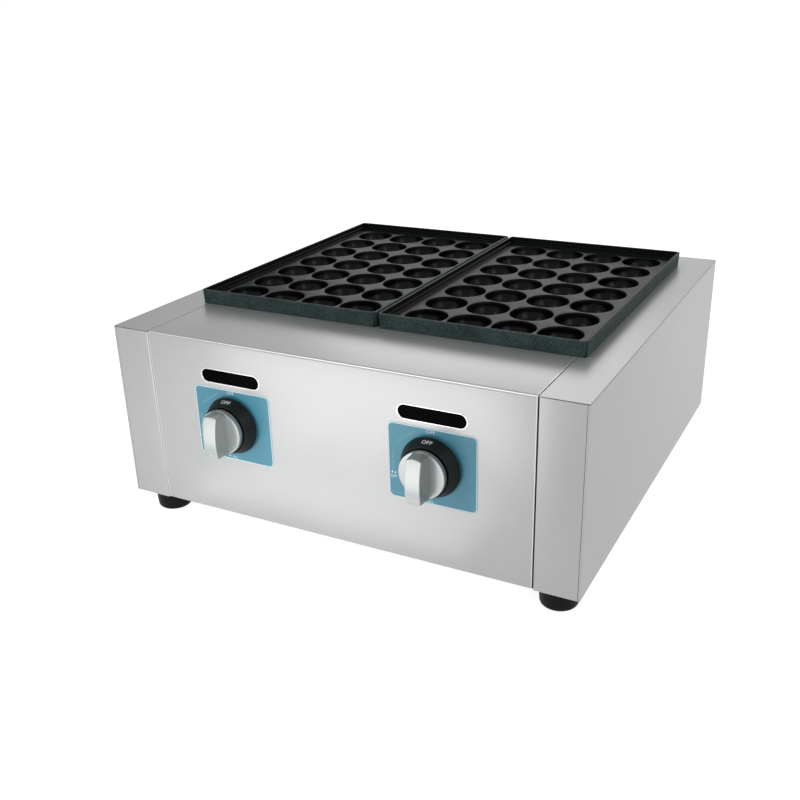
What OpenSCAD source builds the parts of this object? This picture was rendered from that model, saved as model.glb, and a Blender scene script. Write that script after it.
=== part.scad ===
// Countertop takoyaki grill: two lift-off cast pans over gas burners, millimetres.
// +X is right, +Y is to the back, +Z is up. The origin is on the table, under the middle.

/* [Cups] */
// Inside radius of a cup's mouth
cup_r = 20; // [17:0.5:20.5]
// Thickness of a cup's wall
cup_wall = 2.5; // [2:0.1:3]
// Distance between cups, left to right
cup_pitch_x = 43; // [42:0.5:48]
// Distance between cups, front to back
cup_pitch_y = 43.5; // [42:0.5:48]
// Cups in each row of a pan
cup_cols = 4; // [3:1:5]
// Rows of cups in a pan
cup_rows = 7; // [5:1:8]

/* [Pans] */
// From the outer cup's mouth to the side edge of the pan
pan_edge_x = 14; // [12:0.5:20]
// From the outer cup's mouth to the front or back edge of the pan
pan_edge_y = 11.5; // [11:0.5:20]
// Height of the pan's rim over the deck
pan_rim_h = 14.3; // [12:0.1:20]
// Thickness of the pan's rim
pan_rim_t = 3; // [2.5:0.1:4]
// How far the rim's foot is drawn in from its top edge
pan_draft = 0.8; // [0.2:0.1:1.5]
// Depth of the pan's floor under the rim
pan_floor_drop = 7.3; // [6:0.1:8]
// Width of the ledge inside the rim
pan_ledge_w = 2; // [1:0.1:3]
// Height of the ledge over the pan's floor
pan_ledge_h = 3; // [2:0.1:4]
// Thickness of the pan's floor between the cups
pan_floor_t = 4; // [3:0.1:5]
// Corner radius of the pan
pan_corner_r = 4; // [3:0.5:7]
// Gap between the two pans
pan_gap = 2; // [1:0.5:6]
// How far a pan rests on the side housing
pan_lap_x = 8; // [6:0.5:9]
// How far a pan rests on the front and rear deck
pan_lap_y = 6; // [5:0.5:8]

/* [Body] */
// Width of a side housing
side_w = 40; // [36:1:50]
// Depth of the deck in front of the pans
front_deck_d = 91; // [85:1:110]
// Depth of the deck behind the pans
rear_deck_d = 35; // [25:1:50]
// Height of the body without its feet
body_h = 172; // [170:1:190]
// Thickness of the sheet metal
sheet_t = 1.2; // [0.8:0.1:1.5]
// Inside radius of a bend in the sheet
bend_r = 1.3; // [0.8:0.1:2]
// Width of the seam between a housing and the middle panels
seam_gap = 1; // [0.5:0.1:1.2]
// Depth of the return flanges along the seams
flange_d = 14; // [10:0.5:16]
// Height of the lips around the pan openings
lip_h = 10; // [6:0.5:14]
// Depth of the flanges under the front and back panels
floor_flange_d = 25; // [22:0.5:30]
// Width of the rail between the pans
rail_w = 18; // [14:0.5:20]
// Height of the rail between the pans
rail_h = 14; // [10:0.5:16]

/* [Feet] */
// Height of a foot
foot_h = 22; // [18:0.5:30]
// Radius of a foot at its top
foot_top_r = 18; // [16:0.5:19]
// Radius of a foot at its bottom
foot_bottom_r = 16.5; // [14:0.5:17.5]
// From the side of the body to a foot's middle
foot_inset_x = 25; // [24:0.5:27]
// From the front or back of the body to a foot's middle
foot_inset_y = 24.5; // [22:0.5:30]
// Radius of a foot's screw
foot_screw_r = 2.5; // [2:0.1:3]

/* [Controls] */
// From the middle of the body to a control's middle
control_x = 100; // [90:1:104]
// From the top of the body down to a control's middle
control_down = 77; // [74:0.5:82]
// Width of a label plate
label_w = 81; // [70:1:90]
// Height of a label plate
label_h = 69; // [64:1:72]
// How far a label plate's middle is under its control's middle
label_drop = 1.5; // [0:0.1:3]
// Thickness of a label plate
label_t = 0.6; // [0.4:0.1:1]
// Length of a sight window
window_w = 62; // [50:1:64]
// Height of a sight window
window_h = 12.5; // [10:0.5:14]
// From a label plate's top edge to the middle of the window over it
window_up = 10.9; // [9:0.1:14]
// Thickness of a sight window's glass
glass_t = 3; // [2:0.1:4]

/* [Knobs] */
// Radius of a knob's skirt at the panel
skirt_r = 27; // [26:0.5:29]
// Radius of a knob's skirt at its front
skirt_front_r = 22.5; // [22:0.5:24]
// Depth of a knob's skirt
skirt_d = 11.5; // [11:0.5:14]
// Radius of the grip's disc
disc_r = 20.75; // [20:0.25:22]
// Thickness of the grip's disc
disc_t = 5; // [4:0.1:6]
// Width of the grip's bar
bar_w = 13.5; // [11:0.5:18]
// Depth of a knob from the back of its skirt to the front of its bar
knob_d = 33.5; // [31:0.5:36]
// How far a knob pushes in
push_d = 2.5; // [1.5:0.1:3]
// Radius of a valve's stem
stem_r = 4; // [3.5:0.1:4.4]

/* [Gas] */
// Radius of a valve's barrel
valve_r = 12; // [11:0.5:12.5]
// Radius of the manifold pipe
manifold_r = 8; // [7:0.5:9]
// How far the manifold pipe's middle is under the valves' middle
manifold_drop = 29.5; // [27:0.5:36]
// Radius of the feed pipe
feed_r = 5; // [4:0.5:6]
// Height of the gas inlet over the bottom of the body
inlet_up = 22; // [20:0.5:30]
// From the middle of the inlet to the seam beside it
inlet_inset = 18; // [17:0.5:24]
// Radius of the inlet's hose nozzle
nozzle_r = 4.75; // [4:0.25:5.5]
// How far the hose nozzle reaches behind the back panel
nozzle_reach = 33; // [31:0.5:40]

/* [Burners] */
// Radius of a burner tube
tube_r = 11; // [9:0.5:12]
// Distance between burner tubes
tube_pitch = 45; // [38:1:48]
// Depth from the bottom of the cups to the top of the burner tubes
flame_gap = 28.5; // [24:0.5:34]
// Length of a burner tube behind its header
tube_l = 260; // [220:5:270]
// Thickness of a burner's walls
burner_wall = 2.5; // [2:0.1:3]
// Radius of a flame port
port_r = 1.4; // [1:0.1:2]
// Distance between flame ports along a tube
port_pitch = 15; // [12:1:20]

/* [Hidden] */
$fn = 48;
cut = 1;            // how far a cutting shape runs past what it cuts
loose = 0.3;        // gap beside a curved face that only lies near its neighbour
running = 0.08;     // radial clearance of a turning or sliding fit
screw_play = 0.2;   // radial clearance of a screw in its hole
skin = 0.1;         // thickness of the thin slabs that a hull joins

// Pans
pan_w = (cup_cols - 1) * cup_pitch_x + 2 * (cup_r + pan_edge_x);
pan_l = (cup_rows - 1) * cup_pitch_y + 2 * (cup_r + pan_edge_y);
pan_x = (pan_gap + pan_w) / 2;

// Body
half_w = pan_gap / 2 + pan_w - pan_lap_x + side_w;
half_d = (front_deck_d + pan_l + rear_deck_d) / 2;
bottom_z = foot_h;
top_z = foot_h + body_h;
seam_x = half_w - side_w;
panel_half_w = seam_x - seam_gap;
outer_bend_r = bend_r + sheet_t;
front_in = -half_d + sheet_t;
back_in = half_d - sheet_t;
floor_z = bottom_z + sheet_t;
base_z = floor_z + sheet_t;
pan_y = -half_d + front_deck_d + pan_l / 2;
opening_y0 = pan_y - pan_l / 2 + pan_lap_y;
opening_y1 = pan_y + pan_l / 2 - pan_lap_y;
floor_top = pan_rim_h - pan_floor_drop;
rim_bevel = 0.6;

// Sheet metal details
stem_play = 1;
vent_w = 5;
vent_h = 50;
vent_pitch = 12;
vent_count = 10;
vent_drop = 72;
vent_z = top_z - vent_drop;
base_corner_r = 2;
air_slot_w = 80;
air_slot_h = 7;
air_slot_pitch = 20;
shield_foot_d = 14;
shield_play = 1.5;
partition_foot_w = 15;

// Base and its screws
base_lap = 9;
base_half_w = seam_x + base_lap;
flange_play = 1;
base_half_d = half_d - flange_d - flange_play;
screw_r = 2;
screw_head_r = 3.6;
screw_head_t = 2.2;
nut_flat_r = 3.5;
nut_t = 3;
base_screw_x = seam_x + base_lap / 2;
base_screw_y = 150;
flange_screw_y = half_d - (floor_flange_d + flange_d + flange_play) / 2;
foot_x = half_w - foot_inset_x;
foot_y = half_d - foot_inset_y;
foot_recess_r = 7;
foot_plate_t = 7;
foot_head_r = 4.6;
foot_head_t = 3;
foot_nut_flat_r = 4;
foot_nut_t = 4;
foot_round_r = 4;
foot_edge_r = 1;
screw_end = 1.5;
valve_head_t = 1.8;

// Burners
cup_bottom_z = top_z + floor_top - cup_r - cup_wall;
tube_z = cup_bottom_z - flame_gap - tube_r;
control_z = top_z - control_down;
mouth_r = 15;
shield_at = 76;
shield_y = -half_d + shield_at;
venturi_reach = 6;
venturi_y = shield_y - venturi_reach;
header_at = 27;
header_y = shield_y + header_at;
header_d = 28;
header_side = 10;
header_half_w = tube_pitch + header_side;
header_top = tube_z + tube_r;
header_bottom = control_z - mouth_r + burner_wall;
tube_start_y = header_y + header_d - burner_wall;
tube_end_y = header_y + header_d + tube_l;
rear_stand_inset = 30;
rear_stand_y = tube_end_y - rear_stand_inset;
header_corner_r = 8;
throat_r = 8;
throat_at = 18;
mouth_lip = 2;
mouth_cone = 6;
mouth_d = 13;
port_tilt = 30;
port_start = 15;
stand_half_w = 40;
stand_foot_w = 12;
stand_d = 20;
stand_inset = 4;
rear_stand_rise = 3;
rear_stand_foot_d = 16;
rear_window_w = 33;
rear_window_h = 20;

// Valves, measured back from the inside of the front panel
valve_flange_r = 20;
valve_flange_t = 4;
chamber_r = 8;
chamber_end = 16;
plug_end = 36;
plug_front_r = 7.5;
plug_back_r = 6.3;
barrel_end = 44;
nose_end = 50;
nose_r = 6;
outlet_r = 3;
boss_back = 26;
boss_r = 7;
jet_end = 63;
jet_hex_r = 8;
jet_hex_t = 6;
jet_r = 4.5;
jet_cone_at = 9;
jet_tip_r = 2.5;
jet_hole_r = 0.6;
jet_bore_d = 8;
valve_screw_x = 15.5;
manifold_y = front_in + boss_back;
manifold_z = control_z - manifold_drop;
manifold_end = 20;
manifold_half_l = control_x + manifold_end;
bracket_x = control_x / 2;
bracket_half_d = 14;
bracket_corner_r = 3;
bracket_foot_w = 15;
collar_r = 7;
collar_t = 2;
collar_at = valve_flange_t + 0.3;
tongue_t = 2.8;
tongue_w = 10;
tongue_end = 19.5;
slot_end = tongue_end + push_d + 0.3;
plug_gap = 0.3;
gasway_r = 2.5;
neck_end = chamber_end - push_d - 0.8;
wire_r = 0.5;
coil_r = 6;
coil_turns = 4.5;
coil_steps = 60;
coil_sides = 6;
coil_play = 0.05;
coil_from = collar_at + collar_t + wire_r + coil_play;
coil_to = chamber_end + plug_gap - wire_r - coil_play;

// Knobs, measured forward from the back of the skirt
knob_gap = 0.4;
knob_back_y = -half_d - label_t - push_d - knob_gap;
skirt_t = 2.5;
hub_r = 7.5;
hub_d = 8.5;
hub_back = skirt_d - hub_d;
edge = 0.8;
bar_arc_r = 74;
bar_arc_down = 5;
bar_draft = 0.9;
bar_foot_in = 2.2;
bar_foot_cut = 1.6;
bar_steps = 8;
label_corner_r = 5;
label_hole_r = 21;
shaft_r = 3;
shaft_flat = 2.2;
shaft_l = 8;
disc_gap = 0.8;
disc_boss_r = 19;
disc_back = skirt_d + disc_gap;
disc_front = disc_back + disc_t;

// Sight windows
label_z = control_z - label_drop;
window_z = label_z + label_h / 2 + window_up;
glass_margin = 6;
holder_margin = 10;

// Ignition
piezo_w = 18;
piezo_h = 14;
piezo_at = 14;
piezo_l = 28;
piezo_sink = 5;
terminal_r = 2.5;
terminal_l = 5;
electrode_x = 40;
ceramic_r = 3;
electrode_lift = 2;
electrode_z = header_top + ceramic_r + electrode_lift;
electrode_reach = 10;
electrode_front_y = shield_y - electrode_reach;
ceramic_l = 60;
tip_l = 16;
tip_r = 1;
lead_r = 1.5;
lead_bend_r = 7;
lead_start_y = front_in + piezo_at + piezo_l + terminal_l;
lead_start_z = control_z + valve_r + piezo_h / 2;
clamp_half = 5;

// Gas inlet
inlet_x = inlet_inset - seam_x;
inlet_z = bottom_z + inlet_up;
inlet_thread_r = 8;
inlet_flat_r = 12;
inlet_flange_t = 6;
inlet_tail = 14.8;
nozzle_neck_r = 6.5;
nozzle_neck_l = 5;
nozzle_wall = 1.75;
groove_at = 12;
groove_pitch = 4.5;
groove_d = 0.8;
groove_l = 2.5;
locknut_t = 6;
feed_bend_r = 12;

steel = "lightsteelblue";
bright_steel = "silver";
brass = "goldenrod";
iron = "dimgray";
cast_black = [0.12, 0.14, 0.14];
plate_blue = [0.33, 0.56, 0.64];
rubber = [0.08, 0.08, 0.08];

// Points of a fillet of radius r at corner b, between its neighbours a and c
function fillet(a, b, c, r, n = 5) =
  let (u = (a - b) / norm(a - b), v = (c - b) / norm(c - b))
  let (half = acos(u * v) / 2)
  let (m = b + (u + v) / norm(u + v) * r / sin(half))
  let (p = b + u * r / tan(half) - m, q = b + v * r / tan(half) - m)
  let (start = atan2(p.y, p.x), swing = atan2(q.y, q.x) - start)
  let (turn = swing > 180 ? swing - 360 : swing < -180 ? swing + 360 : swing)
  [for (i = [0 : n]) m + r * [cos(start + turn * i / n), sin(start + turn * i / n)]];

// A closed outline with each corner rounded by its own radius
function rounded(p, r) =
  [for (i = [0 : len(p) - 1])
    each r[i] <= 0 ? [p[i]]
      : fillet(p[(i + len(p) - 1) % len(p)], p[i], p[(i + 1) % len(p)], r[i])];

// A rectangle from corner a to corner b with one corner radius
function rounded_box(a, b, r) = rounded([a, [b.x, a.y], b, [a.x, b.y]], [r, r, r, r]);

// An outline in y and z, drawn out along x, w wide about the middle
module across(w) translate([-w / 2, 0, 0]) rotate([90, 0, 90]) linear_extrude(w) children();

// An outline in x and z, drawn out along y from y0 to y1
module between(y0, y1) translate([0, y1, 0]) rotate([90, 0, 0]) linear_extrude(y1 - y0) children();

// A shape that stands on z, turned to point to the front from point p
module to_front(p) translate(p) rotate([90, 0, 0]) children();

// A shape that stands on z, turned to point to the back from point p
module to_back(p) translate(p) rotate([-90, 0, 0]) children();

// A slot with round ends, w long and h high, in x and y
module slot(w, h) {
  square([w - h, h], center = true);
  for (s = [-1, 1]) translate([s * (w - h) / 2, 0]) circle(h / 2);
}

// A sheet folded from a floor flange, up the panel, over the deck and down a lip.
// Depth is measured inward from the outer face, which lies on the plane x = 0 of the outline.
module folded_sheet(deck_d) {
  outside = outer_bend_r;
  across(2 * panel_half_w)
    polygon(rounded(
      [[floor_flange_d, bottom_z], [0, bottom_z], [0, top_z], [deck_d, top_z],
       [deck_d, top_z - lip_h], [deck_d - sheet_t, top_z - lip_h],
       [deck_d - sheet_t, top_z - sheet_t], [sheet_t, top_z - sheet_t],
       [sheet_t, floor_z], [floor_flange_d, floor_z]],
      [0, outside, outside, outside, 0, 0, bend_r, bend_r, bend_r, 0]));
  for (s = [0, 1]) mirror([s, 0, 0])
    translate([panel_half_w - sheet_t / 2, 0, 0]) across(sheet_t)
      polygon(rounded(
        [[0, bottom_z], [0, top_z], [deck_d, top_z], [deck_d, top_z - flange_d],
         [flange_d, top_z - flange_d], [flange_d, bottom_z]],
        [outside, outside, outside, 0, 0, 0]));
}

// Both controls' places, as children moved to x
module at_controls() for (s = [-1, 1]) translate([s * control_x, 0, 0]) children();

module front_deck_panel() color(steel) difference() {
  translate([0, -half_d, 0]) folded_sheet(opening_y0 + half_d);
  at_controls() {
    between(-half_d - cut, front_in + cut) {
      translate([0, control_z]) circle(stem_r + stem_play);
      for (s = [-1, 1]) translate([s * valve_screw_x, control_z]) circle(screw_r + screw_play);
      translate([0, window_z]) slot(window_w, window_h);
    }
    translate([0, -flange_screw_y, bottom_z - cut])
      cylinder(r = screw_r + screw_play, h = sheet_t + 2 * cut);
  }
}

module back_panel() color(steel) difference() {
  mirror([0, 1, 0]) translate([0, -half_d, 0]) folded_sheet(half_d - opening_y1);
  between(back_in - cut, half_d + cut) {
    translate([inlet_x, inlet_z]) circle(inlet_thread_r + loose);
    for (s = [-1, 1], i = [0 : vent_count - 1])
      translate([s * control_x + (i - (vent_count - 1) / 2) * vent_pitch, vent_z])
        rotate(90) slot(vent_h, vent_w);
  }
  at_controls() translate([0, flange_screw_y, bottom_z - cut])
    cylinder(r = screw_r + screw_play, h = sheet_t + 2 * cut);
}

// The right housing: a wall bent round the front and back, with a top and a floor strip
module side_housing() difference() {
  union() {
    translate([0, 0, bottom_z]) linear_extrude(body_h)
      polygon(rounded(
        [[seam_x, -half_d + flange_d], [seam_x, -half_d], [half_w, -half_d], [half_w, half_d],
         [seam_x, half_d], [seam_x, half_d - flange_d], [seam_x + sheet_t, half_d - flange_d],
         [seam_x + sheet_t, back_in], [half_w - sheet_t, back_in], [half_w - sheet_t, front_in],
         [seam_x + sheet_t, front_in], [seam_x + sheet_t, -half_d + flange_d]],
        [0, outer_bend_r, outer_bend_r, outer_bend_r, outer_bend_r, 0, 0,
         bend_r, bend_r, bend_r, bend_r, 0]));
    for (z = [bottom_z, top_z - sheet_t]) translate([0, 0, z]) linear_extrude(sheet_t)
      polygon(rounded_box([seam_x, -half_d], [half_w, half_d], outer_bend_r));
    translate([seam_x, -half_d + flange_d - cut, top_z - flange_d])
      cube([sheet_t, 2 * (half_d - flange_d + cut), flange_d]);
  }
  for (s = [-1, 1]) translate([foot_x, s * foot_y, bottom_z - cut])
    cylinder(r = foot_screw_r + screw_play, h = sheet_t + 2 * cut);
  for (i = [-1 : 1]) translate([base_screw_x, i * base_screw_y, bottom_z - cut])
    cylinder(r = screw_r + screw_play, h = sheet_t + 2 * cut);
}

module left_side_housing() color(steel) mirror([1, 0, 0]) side_housing();
module right_side_housing() color(steel) side_housing();

// Places of the screws that hold the base plate
base_screw_places = concat(
  [for (s = [-1, 1], i = [-1 : 1]) [s * base_screw_x, i * base_screw_y]],
  [for (s = [-1, 1], e = [-1, 1]) [s * control_x, e * flange_screw_y]]);

module base_plate() color(steel) difference() {
  translate([0, 0, floor_z]) linear_extrude(sheet_t) difference() {
    polygon(rounded_box(
      [-base_half_w, -base_half_d], [base_half_w, base_half_d], base_corner_r));
    for (p = base_screw_places) translate(p) circle(screw_r + screw_play);
    at_controls()
      for (y = [header_y + header_d + air_slot_pitch : air_slot_pitch : rear_stand_y - air_slot_h])
        translate([0, y]) slot(air_slot_w, air_slot_h);
  }
}

module centre_pan_rail() color(steel) between(opening_y0, opening_y1) difference() {
  polygon(rounded(
    [[-rail_w / 2, top_z - rail_h], [-rail_w / 2, top_z],
     [rail_w / 2, top_z], [rail_w / 2, top_z - rail_h]],
    [0, outer_bend_r, outer_bend_r, 0]));
  polygon(rounded(
    [[-rail_w / 2 + sheet_t, top_z - rail_h - cut], [-rail_w / 2 + sheet_t, top_z - sheet_t],
     [rail_w / 2 - sheet_t, top_z - sheet_t], [rail_w / 2 - sheet_t, top_z - rail_h - cut]],
    [0, bend_r, bend_r, 0]));
}

module front_heat_shield() color(steel) {
  half = panel_half_w - sheet_t - loose;
  between(shield_y, shield_y + sheet_t) difference() {
    translate([-half, base_z]) square([2 * half, top_z - sheet_t - base_z]);
    at_controls() {
      translate([0, control_z]) circle(mouth_r + burner_wall + shield_play);
      translate([0, window_z]) slot(window_w, window_h);
      translate([electrode_x, electrode_z]) circle(ceramic_r + loose);
    }
    translate([inlet_x, inlet_z]) circle(feed_r + shield_play);
  }
  translate([-half, shield_y - shield_foot_d, base_z])
    cube([2 * half, shield_foot_d + sheet_t / 2, sheet_t]);
}

module middle_partition() color(steel)
  between(shield_y + sheet_t, opening_y1) {
    translate([-sheet_t / 2, base_z]) square([sheet_t, top_z - rail_h - base_z]);
    translate([-sheet_t / 2, base_z]) square([partition_foot_w, sheet_t]);
    translate([-rail_w / 2, top_z - rail_h - sheet_t]) square([rail_w, sheet_t]);
  }

// Every cup's place in a pan, as children moved there
module at_cups() for (i = [0 : cup_cols - 1], j = [0 : cup_rows - 1])
  translate([(i - (cup_cols - 1) / 2) * cup_pitch_x, (j - (cup_rows - 1) / 2) * cup_pitch_y, 0])
    children();

// A slab with round corners, inset from the pan's edge, between heights z0 and z1
module pan_slab(inset, z0, z1) translate([0, 0, z0]) linear_extrude(z1 - z0)
  polygon(rounded_box(
    [-pan_w / 2 + inset, -pan_l / 2 + inset], [pan_w / 2 - inset, pan_l / 2 - inset],
    max(pan_corner_r - inset, 1)));

// One casting: a drafted rim with a ledge inside, a floor, and the cups that hang under it
module pan() translate([0, pan_y, top_z]) difference() {
  union() {
    difference() {
      hull() {
        pan_slab(pan_draft, 0, skin);
        pan_slab(0, pan_rim_h - rim_bevel - skin, pan_rim_h - rim_bevel);
        pan_slab(rim_bevel, pan_rim_h - skin, pan_rim_h);
      }
      pan_slab(pan_rim_t + pan_draft, -cut, floor_top - pan_floor_t);
    }
    translate([0, 0, floor_top]) at_cups() sphere(cup_r + cup_wall);
  }
  pan_slab(pan_rim_t, floor_top + pan_ledge_h, pan_rim_h + 2 * cup_r);
  pan_slab(pan_rim_t + pan_ledge_w, floor_top, pan_rim_h);
  translate([0, 0, floor_top]) at_cups() sphere(cup_r);
}

module left_pan() color(cast_black) translate([-pan_x, 0, 0]) pan();
module right_pan() color(cast_black) translate([pan_x, 0, 0]) pan();

// A fork burner: a bell mouth and throat, a header and three tubes with two rows of ports
module burner() {
  port_count = floor((tube_l - 2 * port_start) / port_pitch) - 1;
  difference() {
    union() {
      to_back([0, venturi_y, control_z]) rotate_extrude() venturi_outline(burner_wall);
      translate([0, header_y, 0]) header_block(0);
      for (i = [-1 : 1]) to_back([i * tube_pitch, tube_start_y, tube_z])
        cylinder(r = tube_r, h = tube_end_y - tube_start_y);
    }
    to_back([0, venturi_y, control_z]) rotate_extrude() venturi_outline(0);
    translate([0, header_y, 0]) header_block(burner_wall);
    for (i = [-1 : 1]) {
      to_back([i * tube_pitch, header_y + burner_wall + cut, tube_z])
        cylinder(r = tube_r - burner_wall, h = tube_end_y - header_y - 2 * burner_wall - cut);
      for (s = [-1, 1], k = [0 : port_count])
        translate([i * tube_pitch, header_y + header_d + port_start + k * port_pitch, tube_z])
          rotate([0, s * port_tilt, 0]) cylinder(r = port_r, h = tube_r + cut);
    }
  }
}

// Half outline of the venturi around its axis, made thicker by a wall
module venturi_outline(wall) {
  reach = header_y + (wall > 0 ? burner_wall / 2 : burner_wall + cut) - venturi_y;
  lead = wall > 0 ? 0 : cut;
  polygon([
    [0, -lead], [mouth_r + wall, -lead], [mouth_r + wall, mouth_lip],
    [(mouth_r + throat_r) / 2 + wall, mouth_cone], [throat_r + 1 + wall, mouth_d],
    [throat_r + wall, throat_at], [throat_r + burner_wall + wall, reach], [0, reach]]);
}

// The header's block, with every face moved in by inset
module header_block(inset)
  translate([0, 0, header_bottom + inset])
    linear_extrude(header_top - header_bottom - 2 * inset)
      polygon(rounded_box([-header_half_w + inset, inset], [header_half_w - inset, header_d - inset],
        header_corner_r - inset));

module left_burner() color(iron) translate([-control_x, 0, 0]) burner();
module right_burner() color(iron) translate([control_x, 0, 0]) burner();

module front_stand() between(header_y + stand_inset, header_y + stand_inset + stand_d) difference() {
  polygon(rounded(
    [[-stand_half_w - stand_foot_w, base_z], [-stand_half_w - stand_foot_w, base_z + sheet_t],
     [-stand_half_w, base_z + sheet_t], [-stand_half_w, header_bottom],
     [stand_half_w, header_bottom], [stand_half_w, base_z + sheet_t],
     [stand_half_w + stand_foot_w, base_z + sheet_t], [stand_half_w + stand_foot_w, base_z]],
    [0, 0, 0, outer_bend_r, outer_bend_r, 0, 0, 0]));
  polygon(rounded(
    [[-stand_half_w + sheet_t, base_z - cut], [-stand_half_w + sheet_t, header_bottom - sheet_t],
     [stand_half_w - sheet_t, header_bottom - sheet_t], [stand_half_w - sheet_t, base_z - cut]],
    [0, bend_r, bend_r, 0]));
}

module left_burner_front_stand() color(bright_steel) translate([-control_x, 0, 0]) front_stand();
module right_burner_front_stand() color(bright_steel) translate([control_x, 0, 0]) front_stand();

module rear_stand() {
  half = tube_pitch + tube_r + 2 * sheet_t;
  between(rear_stand_y, rear_stand_y + sheet_t) difference() {
    translate([-half, base_z]) square([2 * half, tube_z - rear_stand_rise - base_z]);
    for (i = [-1 : 1]) translate([i * tube_pitch, tube_z]) circle(tube_r + loose);
    for (i = [-0.5, 0.5]) translate([i * tube_pitch, (base_z + tube_z) / 2 - tube_r])
      slot(rear_window_w, rear_window_h);
  }
  translate([-half, rear_stand_y, base_z]) cube([2 * half, rear_stand_foot_d, sheet_t]);
}

module left_burner_rear_stand() color(bright_steel) translate([-control_x, 0, 0]) rear_stand();
module right_burner_rear_stand() color(bright_steel) translate([control_x, 0, 0]) rear_stand();

module gas_jet() to_back([0, front_in + nose_end, control_z]) difference() {
  union() {
    cylinder(r = jet_hex_r, h = jet_hex_t, $fn = 6);
    cylinder(r = jet_r, h = jet_cone_at);
    translate([0, 0, jet_cone_at])
      cylinder(r1 = jet_r, r2 = jet_tip_r, h = jet_end - nose_end - jet_cone_at);
  }
  translate([0, 0, -cut]) cylinder(r = outlet_r, h = jet_bore_d + cut);
  cylinder(r = jet_hole_r, h = jet_end);
}

module left_gas_jet() color(brass) translate([-control_x, 0, 0]) gas_jet();
module right_gas_jet() color(brass) translate([control_x, 0, 0]) gas_jet();

module valve_body() difference() {
  union() {
    to_back([0, front_in, control_z]) {
      cylinder(r = valve_flange_r, h = valve_flange_t);
      cylinder(r = valve_r, h = barrel_end);
      translate([0, 0, barrel_end - cut]) cylinder(r = nose_r, h = nose_end - barrel_end + cut);
    }
    translate([0, manifold_y, manifold_z]) cylinder(r = boss_r, h = manifold_drop - outlet_r);
  }
  to_back([0, front_in, control_z]) {
    translate([0, 0, -cut]) cylinder(r = stem_r + running, h = valve_flange_t + 2 * cut);
    translate([0, 0, valve_flange_t]) cylinder(r = chamber_r, h = chamber_end - valve_flange_t);
    translate([0, 0, chamber_end])
      cylinder(r1 = plug_front_r + running, r2 = plug_back_r + running, h = plug_end - chamber_end);
    translate([0, 0, plug_end - cut]) cylinder(r = outlet_r, h = nose_end - plug_end + 2 * cut);
    for (s = [-1, 1]) translate([s * valve_screw_x, 0, -cut])
      cylinder(r = screw_r + running, h = valve_flange_t + 2 * cut);
  }
  translate([0, manifold_y, manifold_z]) cylinder(r = outlet_r, h = manifold_drop - outlet_r);
  translate([-boss_r - cut, manifold_y, manifold_z]) rotate([0, 90, 0])
    cylinder(r = manifold_r + running, h = 2 * (boss_r + cut));
}

module left_valve_body() color(brass) translate([-control_x, 0, 0]) valve_body();
module right_valve_body() color(brass) translate([control_x, 0, 0]) valve_body();

// The tapered tap that turns in the valve, slotted for the stem's tongue
module valve_plug() to_back([0, front_in, control_z]) {
  start = chamber_end + plug_gap;
  end = plug_end - plug_gap;
  slope = (plug_front_r - plug_back_r) / (plug_end - chamber_end);
  difference() {
    translate([0, 0, start]) cylinder(
      r1 = plug_front_r - slope * plug_gap, r2 = plug_back_r + slope * plug_gap, h = end - start);
    translate([-plug_front_r - cut, -tongue_t / 2 - running, start - cut])
      cube([2 * (plug_front_r + cut), tongue_t + 2 * running, slot_end - start + cut]);
    translate([0, 0, boss_back]) rotate([90, 0, 0]) cylinder(r = gasway_r, h = 2 * plug_front_r);
    translate([0, 0, boss_back]) cylinder(r = gasway_r, h = plug_end - boss_back);
  }
}

module left_valve_plug() color(brass) translate([-control_x, 0, 0]) valve_plug();
module right_valve_plug() color(brass) translate([control_x, 0, 0]) valve_plug();

// One ring of the spring's wire, step k of the way along
function coil_ring(k) =
  let (way = k / coil_steps, a = 360 * coil_turns * way)
  [for (i = [0 : coil_sides - 1])
    let (w = 360 * i / coil_sides)
    [(coil_r + wire_r * cos(w)) * cos(a), (coil_r + wire_r * cos(w)) * sin(a),
     coil_from + (coil_to - coil_from) * way + wire_r * sin(w)]];

module valve_spring() to_back([0, front_in, control_z]) polyhedron(
  points = [for (k = [0 : coil_steps]) each coil_ring(k)],
  faces = concat(
    [[for (i = [0 : coil_sides - 1]) i]],
    [for (k = [0 : coil_steps - 1], i = [0 : coil_sides - 1])
      let (j = (i + 1) % coil_sides)
      [k * coil_sides + i, (k + 1) * coil_sides + i,
       (k + 1) * coil_sides + j, k * coil_sides + j]],
    [[for (i = [coil_sides - 1 : -1 : 0]) coil_steps * coil_sides + i]]));

module left_valve_spring() color(bright_steel) translate([-control_x, 0, 0]) valve_spring();
module right_valve_spring() color(bright_steel) translate([control_x, 0, 0]) valve_spring();

// The stem: a D-shaped end for the knob, a collar for the spring and a flat tongue behind
module valve_stem() to_back([0, front_in, control_z]) {
  shoulder = front_in - knob_back_y + hub_back;
  difference() {
    union() {
      translate([0, 0, -shoulder]) cylinder(r = stem_r, h = shoulder + neck_end);
      translate([0, 0, -shoulder - shaft_l]) cylinder(r = shaft_r, h = shaft_l + cut);
      translate([0, 0, collar_at]) cylinder(r = collar_r, h = collar_t);
      translate([-tongue_w / 2, -tongue_t / 2, neck_end - cut])
        cube([tongue_w, tongue_t, tongue_end - neck_end + cut]);
    }
    translate([-shaft_r - cut, -shaft_r - cut, -shoulder - shaft_l - cut])
      cube([2 * (shaft_r + cut), shaft_r - shaft_flat + cut, shaft_l + cut]);
  }
}

module left_valve_stem() color(bright_steel) translate([-control_x, 0, 0]) valve_stem();
module right_valve_stem() color(bright_steel) translate([control_x, 0, 0]) valve_stem();

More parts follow.
